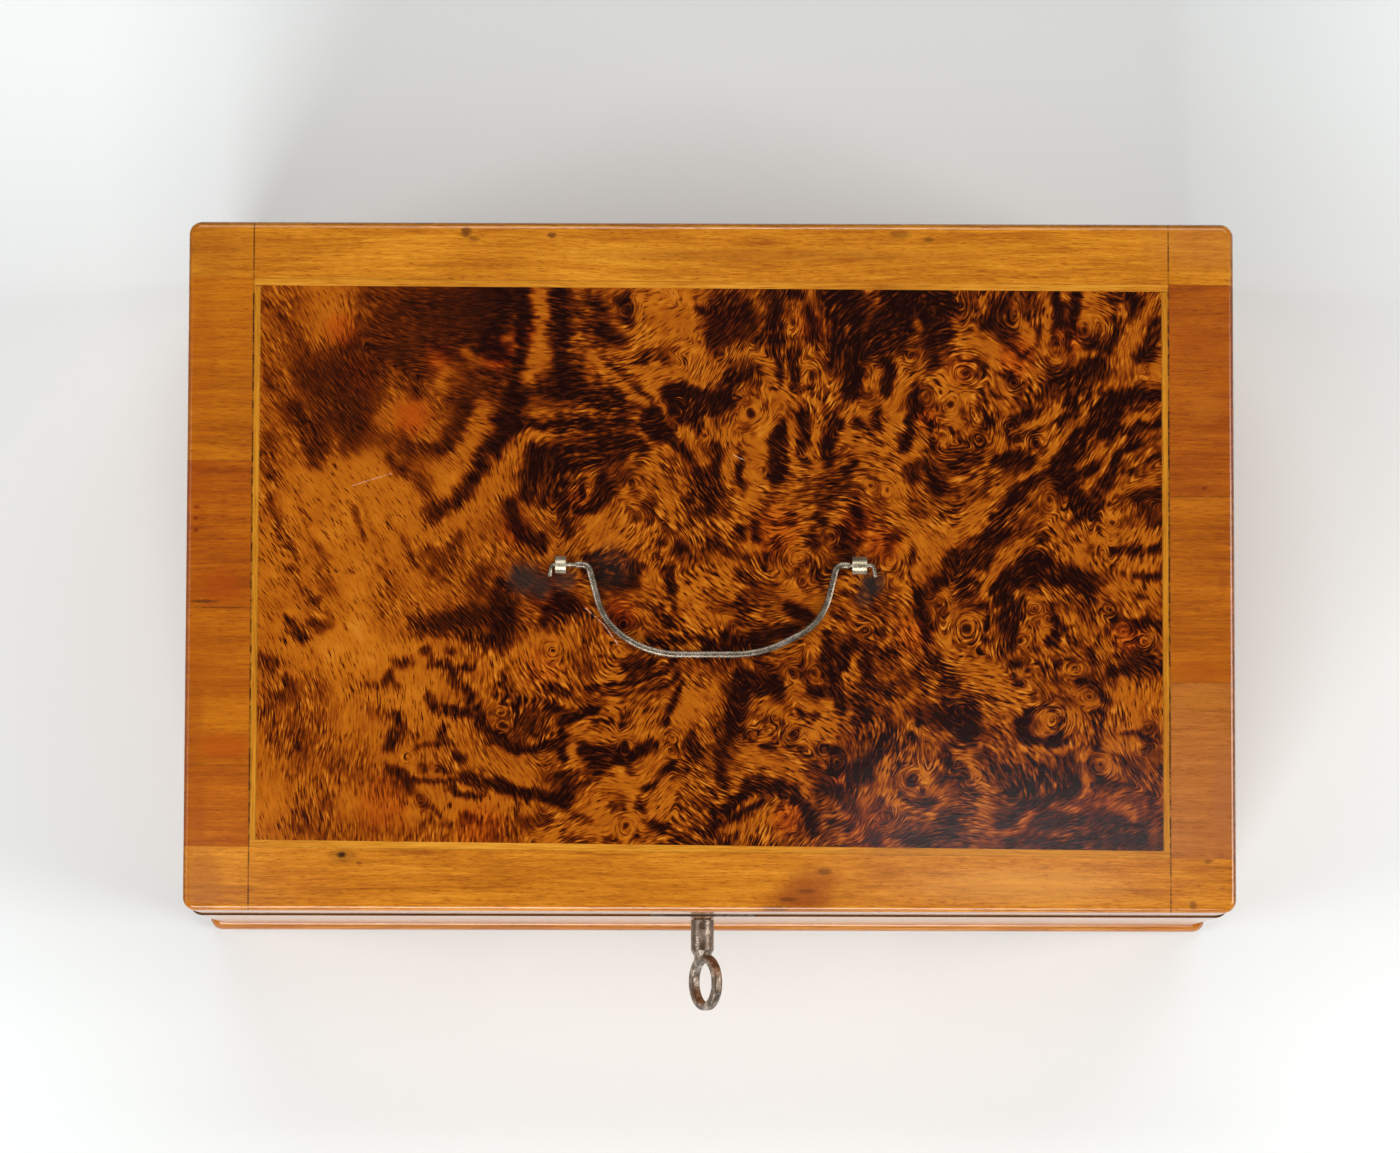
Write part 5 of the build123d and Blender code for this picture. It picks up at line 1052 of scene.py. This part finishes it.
def close_below(mesh, low):
    """Gives the open top walls round its rim and its holes, and a foot at the height low."""
    work = bmesh.new()
    work.from_mesh(mesh)
    loose = [v for v in work.verts if not v.link_faces]
    bmesh.ops.delete(work, geom=loose, context="VERTS")
    rim = [e for e in work.edges if e.is_boundary]
    wall = bmesh.ops.extrude_edge_only(work, edges=rim)["geom"]
    for vert in (v for v in wall if isinstance(v, bmesh.types.BMVert)):
        vert.co.z = low * mm
    foot = [e for e in wall if isinstance(e, bmesh.types.BMEdge) and e.is_boundary]
    bmesh.ops.triangle_fill(work, edges=foot, use_beauty=True)
    bmesh.ops.recalc_face_normals(work, faces=work.faces)
    work.to_mesh(mesh)
    work.free()


def add_figure(mesh, corners):
    """Works the burl's figure out on a grid of its own and puts it on the mesh as attributes."""
    left_front, right_front, right_back, left_back = corners
    x0, y0 = left_front.x, min(left_front.y, right_front.y)
    x1, y1 = right_front.x, max(left_back.y, right_back.y)
    columns, rows = np.arange(x0, x1 + 1, figure_cell), np.arange(y0, y1 + 1, figure_cell)
    fields = burl_fields(*np.meshgrid(columns, rows))
    place = np.empty(len(mesh.vertices) * 3)
    mesh.vertices.foreach_get("co", place)
    place = place.reshape(-1, 3) / mm
    for name, field in zip(("shade", "across", "show", "pupil", "stain", "rosy"), fields):
        values = sampled(field, place[:, 0], place[:, 1], x0, y0, figure_cell)
        mesh.attributes.new(name, "FLOAT", "POINT").data.foreach_set("value", values.astype(np.float32))


def add_object(name, data):
    thing = bpy.data.objects.new(name, data)
    bpy.context.scene.collection.objects.link(thing)
    return thing


def make_burl_panel():
    corners = corners_of("burl_panel")
    low, high = (p.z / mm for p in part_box("burl_panel"))
    points, faces = panel_grid(corners, high, leg_holes())
    mesh = bpy.data.meshes.new("burl_panel_figured")
    mesh.from_pydata((points * mm).tolist(), [], faces.tolist())
    close_below(mesh, low)
    add_figure(mesh, corners)
    mesh.materials.append(burl_material())
    panel = add_object("burl_panel_figured", mesh)
    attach(panel, "lid")
    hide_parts("burl_panel")


def paint_node(node, material):
    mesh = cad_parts[node].data
    mesh.materials.clear()
    mesh.materials.append(material)


brown = (88, 40, 8)
knot = (38, 14, 6)
russet = (158, 64, 2)
amber = (208, 132, 34)
pin_brown = (112, 34, 2)

# Border pieces: pale, middle and deep tone, and where in the grain pattern each is cut.
border_tones = {
    "border_back": ((222, 150, 38), (193, 117, 18), (150, 78, 6), 11),
    "border_front": ((222, 146, 40), (192, 114, 20), (146, 76, 8), 23),
    "border_left_1": ((198, 118, 14), (174, 95, 5), (142, 68, 2), 31),
    "border_left_2": ((190, 106, 10), (165, 82, 4), (132, 56, 2), 37),
    "border_left_3": ((196, 116, 14), (174, 92, 6), (142, 66, 2), 41),
    "border_left_4": ((196, 112, 14), (171, 87, 5), (140, 62, 2), 47),
    "border_right_1": ((182, 98, 14), (157, 77, 7), (128, 54, 2), 53),
    "border_right_2": ((192, 110, 18), (169, 90, 9), (138, 64, 4), 59),
    # border_right_3's greyer, bluer tones are partly its wood and partly a painted sheen
    "border_right_3": ((192, 116, 46), (170, 98, 34), (140, 72, 18), 61),
}

# Knots, stains, tone patches and painted sheen in the border: middle, half length, half width, strength and
# tint.
border_patches = {
    "border_back": [
        (-75.5, 102.8, 1.6, 1.8, 0.75, brown), (-73, 100.8, 1.8, 1, 0.5, brown),
        (-49.5, 102.1, 3.4, 1.3, 0.45, amber), (-49, 101.9, 1.5, 0.9, 0.8, brown),
        (58, 102.5, 3.5, 1.2, 0.5, brown), (67, 100.9, 1.6, 0.8, 0.6, brown),
        (20, 95.8, 60, 2.2, 0.35, (150, 84, 16)), (-155, 96.3, 9, 11, 0.35, (150, 80, 8)),
        (150, 99.3, 16, 8, 0.35, (180, 112, 50)),
    ],
    "border_front": [
        (-112.3, -88.9, 1.5, 1, 1, knot), (-112, -89.2, 4.5, 2.4, 0.35, brown),
        (-107, -91.5, 0.9, 0.5, 0.6, brown), (28, -101.2, 8.5, 5, 0.7, (140, 62, 8)),
        (32, -96.2, 8, 4, 0.6, (152, 74, 12)), (24, -102.2, 3.2, 0.7, 0.6, brown),
        (29.5, -99.7, 2.8, 0.8, 0.55, brown), (20, -105.2, 4.5, 1.2, 0.6, brown),
        (35, -93.7, 2.5, 1, 0.6, brown), (152, -90.2, 1.2, 0.8, 0.6, brown),
        (147.5, -103.7, 1.2, 1.4, 0.6, brown), (-155, -96.7, 6, 9, 0.45, (158, 84, 20)),
        # the pale pinkish patch over the right half is a painted sheen
        (96, -97.7, 34, 6, 0.35, (214, 148, 70)),
    ],
    "border_left_1": [(-156, 59.3, 4, 40, 0.3, (160, 78, 2))],
    "border_left_2": [
        (-157.6, 17.5, 1, 0.7, 0.85, pin_brown), (-157.9, 14.1, 0.9, 0.7, 0.85, pin_brown),
        (-157.7, 10.5, 0.9, 0.7, 0.85, pin_brown), (-157, 23.3, 4, 9, 0.4, (156, 66, 2)),
        (-150, -6.7, 7, 5, 0.6, russet), (-155, -11.5, 4.5, 0.6, 0.8, brown),
    ],
    "border_left_3": [
        (-149, -56.2, 9, 3.6, 0.65, (168, 70, 0)), (-156, -27.7, 4, 12, 0.3, (158, 76, 4)),
        (-158, -48, 3, 14, 0.35, (140, 66, 8)),
    ],
    "border_left_4": [(-149, -63.8, 8, 1.2, 0.45, (150, 72, 8)), (-157, -78, 3.5, 16, 0.35, (152, 70, 6))],
    "border_right_1": [
        (152, 49.3, 6, 5, 0.45, (176, 98, 18)), (151.5, 24.2, 0.9, 0.6, 0.85, (92, 36, 4)),
        (150, 24.2, 8, 1.8, 0.35, (132, 56, 4)), (150, 69.3, 10, 5, 0.35, (140, 58, 2)),
    ],
    "border_right_2": [(150, -32.2, 8, 3.5, 0.5, (160, 72, 4)), (157, -4.7, 1.4, 3.5, 0.35, (140, 62, 10))],
    # the second, greyish patch along border_right_3's outer edge is partly a painted sheen
    "border_right_3": [(150, -40.7, 9, 4, 0.4, (184, 112, 30)), (157, -70.7, 4, 18, 0.4, (160, 92, 50))],
}

# How dark the seam in front of a border piece is.
border_seams = {
    "border_left_1": 0.3, "border_left_2": 0.6, "border_left_3": 0.4,
    "border_right_1": 0.4, "border_right_2": 0.3,
}


def paint_borders():
    outer_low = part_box("border_front")[0] / mm
    outer_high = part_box("border_back")[1] / mm
    pane_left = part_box("stringing_left")[0].x / mm
    pane_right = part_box("stringing_right")[1].x / mm
    seam_behind = 0.0
    for node, (*tones, shift) in border_tones.items():
        low, high = (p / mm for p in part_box(node))
        lines = [
            # The first three lines are a painted dark reflection on the rounded arris of the lid's back,
            # left and right edges; the others are dark glue lines at the joints.
            ((0, 1), outer_high.y, 0.9, 0.5),
            ((1, 0), outer_low.x, 0.8, 0.4), ((1, 0), outer_high.x, 0.8, 0.75),
            ((1, 0), pane_left, 0.3, 0.8), ((1, 0), pane_right, 0.3, 0.8),
        ]
        seam_in_front = border_seams.get(node, 0.0)
        if node not in ("border_back", "border_front"):
            lines += [((0, 1), high.y, 0.3, seam_behind), ((0, 1), low.y, 0.3, seam_in_front)]
        seam_behind = seam_in_front
        paint_node(node, wood_material(
            node, tones, figure=0.45, shift=shift, length=0.45, lines=lines,
            patches=border_patches.get(node, ()), dull=outer_low.x,
        ))


def stringing_lines(side):
    """Glue lines along a strip of the stringing: its two long edges and the ends that meet another strip."""
    left_front, right_front, right_back, left_back = corners_of("stringing_" + side)
    if side in ("left", "right"):
        outer, inner = left_front.x, right_front.x
        if side == "right":
            outer, inner = inner, outer
        return [((1, 0), outer, 0.45, 1), ((1, 0), inner, 0.4, 0.5), ((0, 1), left_back.y, 0.35, 0.8)]
    lines = []
    outer, inner = (left_back, right_back), (left_front, right_front)
    if side == "front":
        outer, inner = inner, outer
    for (start, end), strength in ((outer, 0.45), (inner, 0.15)):
        slope = (end.y - start.y) / (end.x - start.x)
        lines.append(((-slope, 1), start.y - slope * start.x, 0.28, strength))
    return lines + [((1, 0), x, 0.4, 0.9) for x in (left_front.x, right_front.x)]


def paint_stringing():
    long_tones = ((226, 158, 52), (200, 128, 28), (160, 90, 12))
    short_tones = ((214, 146, 40), (190, 121, 22), (152, 84, 10))
    strips = {
        "back": (long_tones, 0), "front": (long_tones, 0),
        "left": (short_tones, math.pi / 2), "right": (short_tones, math.pi / 2),
    }
    for side, (tones, turn) in strips.items():
        node = "stringing_" + side
        paint_node(node, wood_material(node, tones, turn, figure=0.4, shift=7, lines=stringing_lines(side)))


def paint_case():
    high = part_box("body_right")[1] / mm
    case = dict(
        tones=((214, 146, 62), (188, 112, 26), (150, 76, 10)), figure=0.5, gloss=0.16,
        shell=(high.x, high.y, high.z),
    )
    along_x = wood_material("case_wood_along", shift=3, **case)
    along_y = wood_material("case_wood_across", turn=math.pi / 2, shift=5, **case)
    for node in ("body_front", "body_back", "lid_rail_front", "lid_rail_back", "bottom_board", "lid_board"):
        paint_node(node, along_x)
    for node in ("body_left", "body_right", "lid_rail_left", "lid_rail_right"):
        paint_node(node, along_y)


def paint_iron():
    handle = iron_material(
        "handle_iron", (132, 119, 104), (176, 164, 146), (60, 48, 38),
        rough=(0.22, 0.38), shine=0.85, rounded=1.0, rusty=0.25,
    )
    staple = iron_material(
        "staple_iron", (168, 156, 130), (220, 210, 186), (92, 76, 56),
        rough=(0.26, 0.46), wear=0.7, shine=0.75, rounded=0.4, rusty=0.2,
    )
    key = iron_material(
        "key_iron", (108, 93, 80), (196, 184, 170), (46, 36, 30),
        rough=(0.3, 0.5), wear=0.3, shine=0.7, rounded=0.5, rusty=0.08,
    )
    lock = iron_material("lock_iron", (104, 101, 96), (166, 162, 154), (50, 46, 42), wear=0.4)
    hinge = iron_material("hinge_iron", (104, 98, 90), (160, 152, 142), (44, 38, 32), wear=0.3)
    small = iron_material("fastener_iron", (110, 104, 96), (170, 164, 154), (48, 42, 36), wear=0.4)
    kinds = {                   # words in the pieces' names; the first that fits counts
        "screws": small, "nails": small, "handle": handle, "staple": staple, "key": key,
        "hinge_": hinge, "lock_": lock, "link_": lock,
    }
    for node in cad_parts:
        kind = next((kind for kind in kinds if kind in node), None)
        if kind:
            paint_node(node, kinds[kind])


# ---------------------------------------------------------------- stage
def make_floor():
    paint = Paint("floor")
    place = paint.node("ShaderNodeTexCoord").outputs["Object"]
    clouded = tuple(c * floor_clouds for c in floor_colour)
    colour = paint.mix(paint.noise(place, 3.0, 3.0), floor_colour + (1,), clouded + (1,))
    mesh = bpy.data.meshes.new("floor")
    corners = [(sx * floor_half, sy * floor_half, 0) for sx, sy in corner_signs]
    mesh.from_pydata(corners, [], [(0, 1, 2, 3)])
    mesh.materials.append(paint.finish(Base_Color=colour, Roughness=0.9))
    add_object("floor", mesh)


def soft_light(name, place, size, power, colour, aim=light_aim):
    light = bpy.data.lights.new(name, "AREA")
    light.shape = "RECTANGLE"
    light.size, light.size_y = size
    light.energy = power
    light.color = colour
    thing = add_object(name, light)
    thing.location = place
    thing.rotation_euler = (Vector(aim) - Vector(place)).to_track_quat("-Z", "Y").to_euler()


def make_lights():
    world = bpy.data.worlds.new("studio")
    bpy.context.scene.world = world
    world.use_nodes = True
    background = world.node_tree.nodes["Background"]
    background.inputs["Color"].default_value = world_colour + (1,)
    background.inputs["Strength"].default_value = world_strength
    for name, settings in soft_lights.items():
        soft_light(name, *settings)


def make_camera():
    turn = Matrix.Rotation(camera_tilt, 3, "X") @ Matrix.Rotation(camera_pan, 3, "Y")
    turn = turn @ Matrix.Rotation(camera_roll, 3, "Z")
    data = bpy.data.cameras.new("camera")
    data.sensor_width = camera_sensor
    data.lens = camera_lens
    data.clip_start = 0.05
    data.clip_end = 20
    camera = add_object("camera", data)
    place = camera_target + turn @ Vector((0, 0, camera_distance))
    camera.matrix_world = Matrix.Translation(place) @ turn.to_4x4()
    bpy.context.scene.camera = camera


paint_case()
paint_borders()
paint_stringing()
paint_iron()
make_burl_panel()
make_floor()
make_lights()
make_camera()
bpy.context.scene.view_settings.view_transform = "Standard"
bpy.context.scene.view_settings.look = "None"
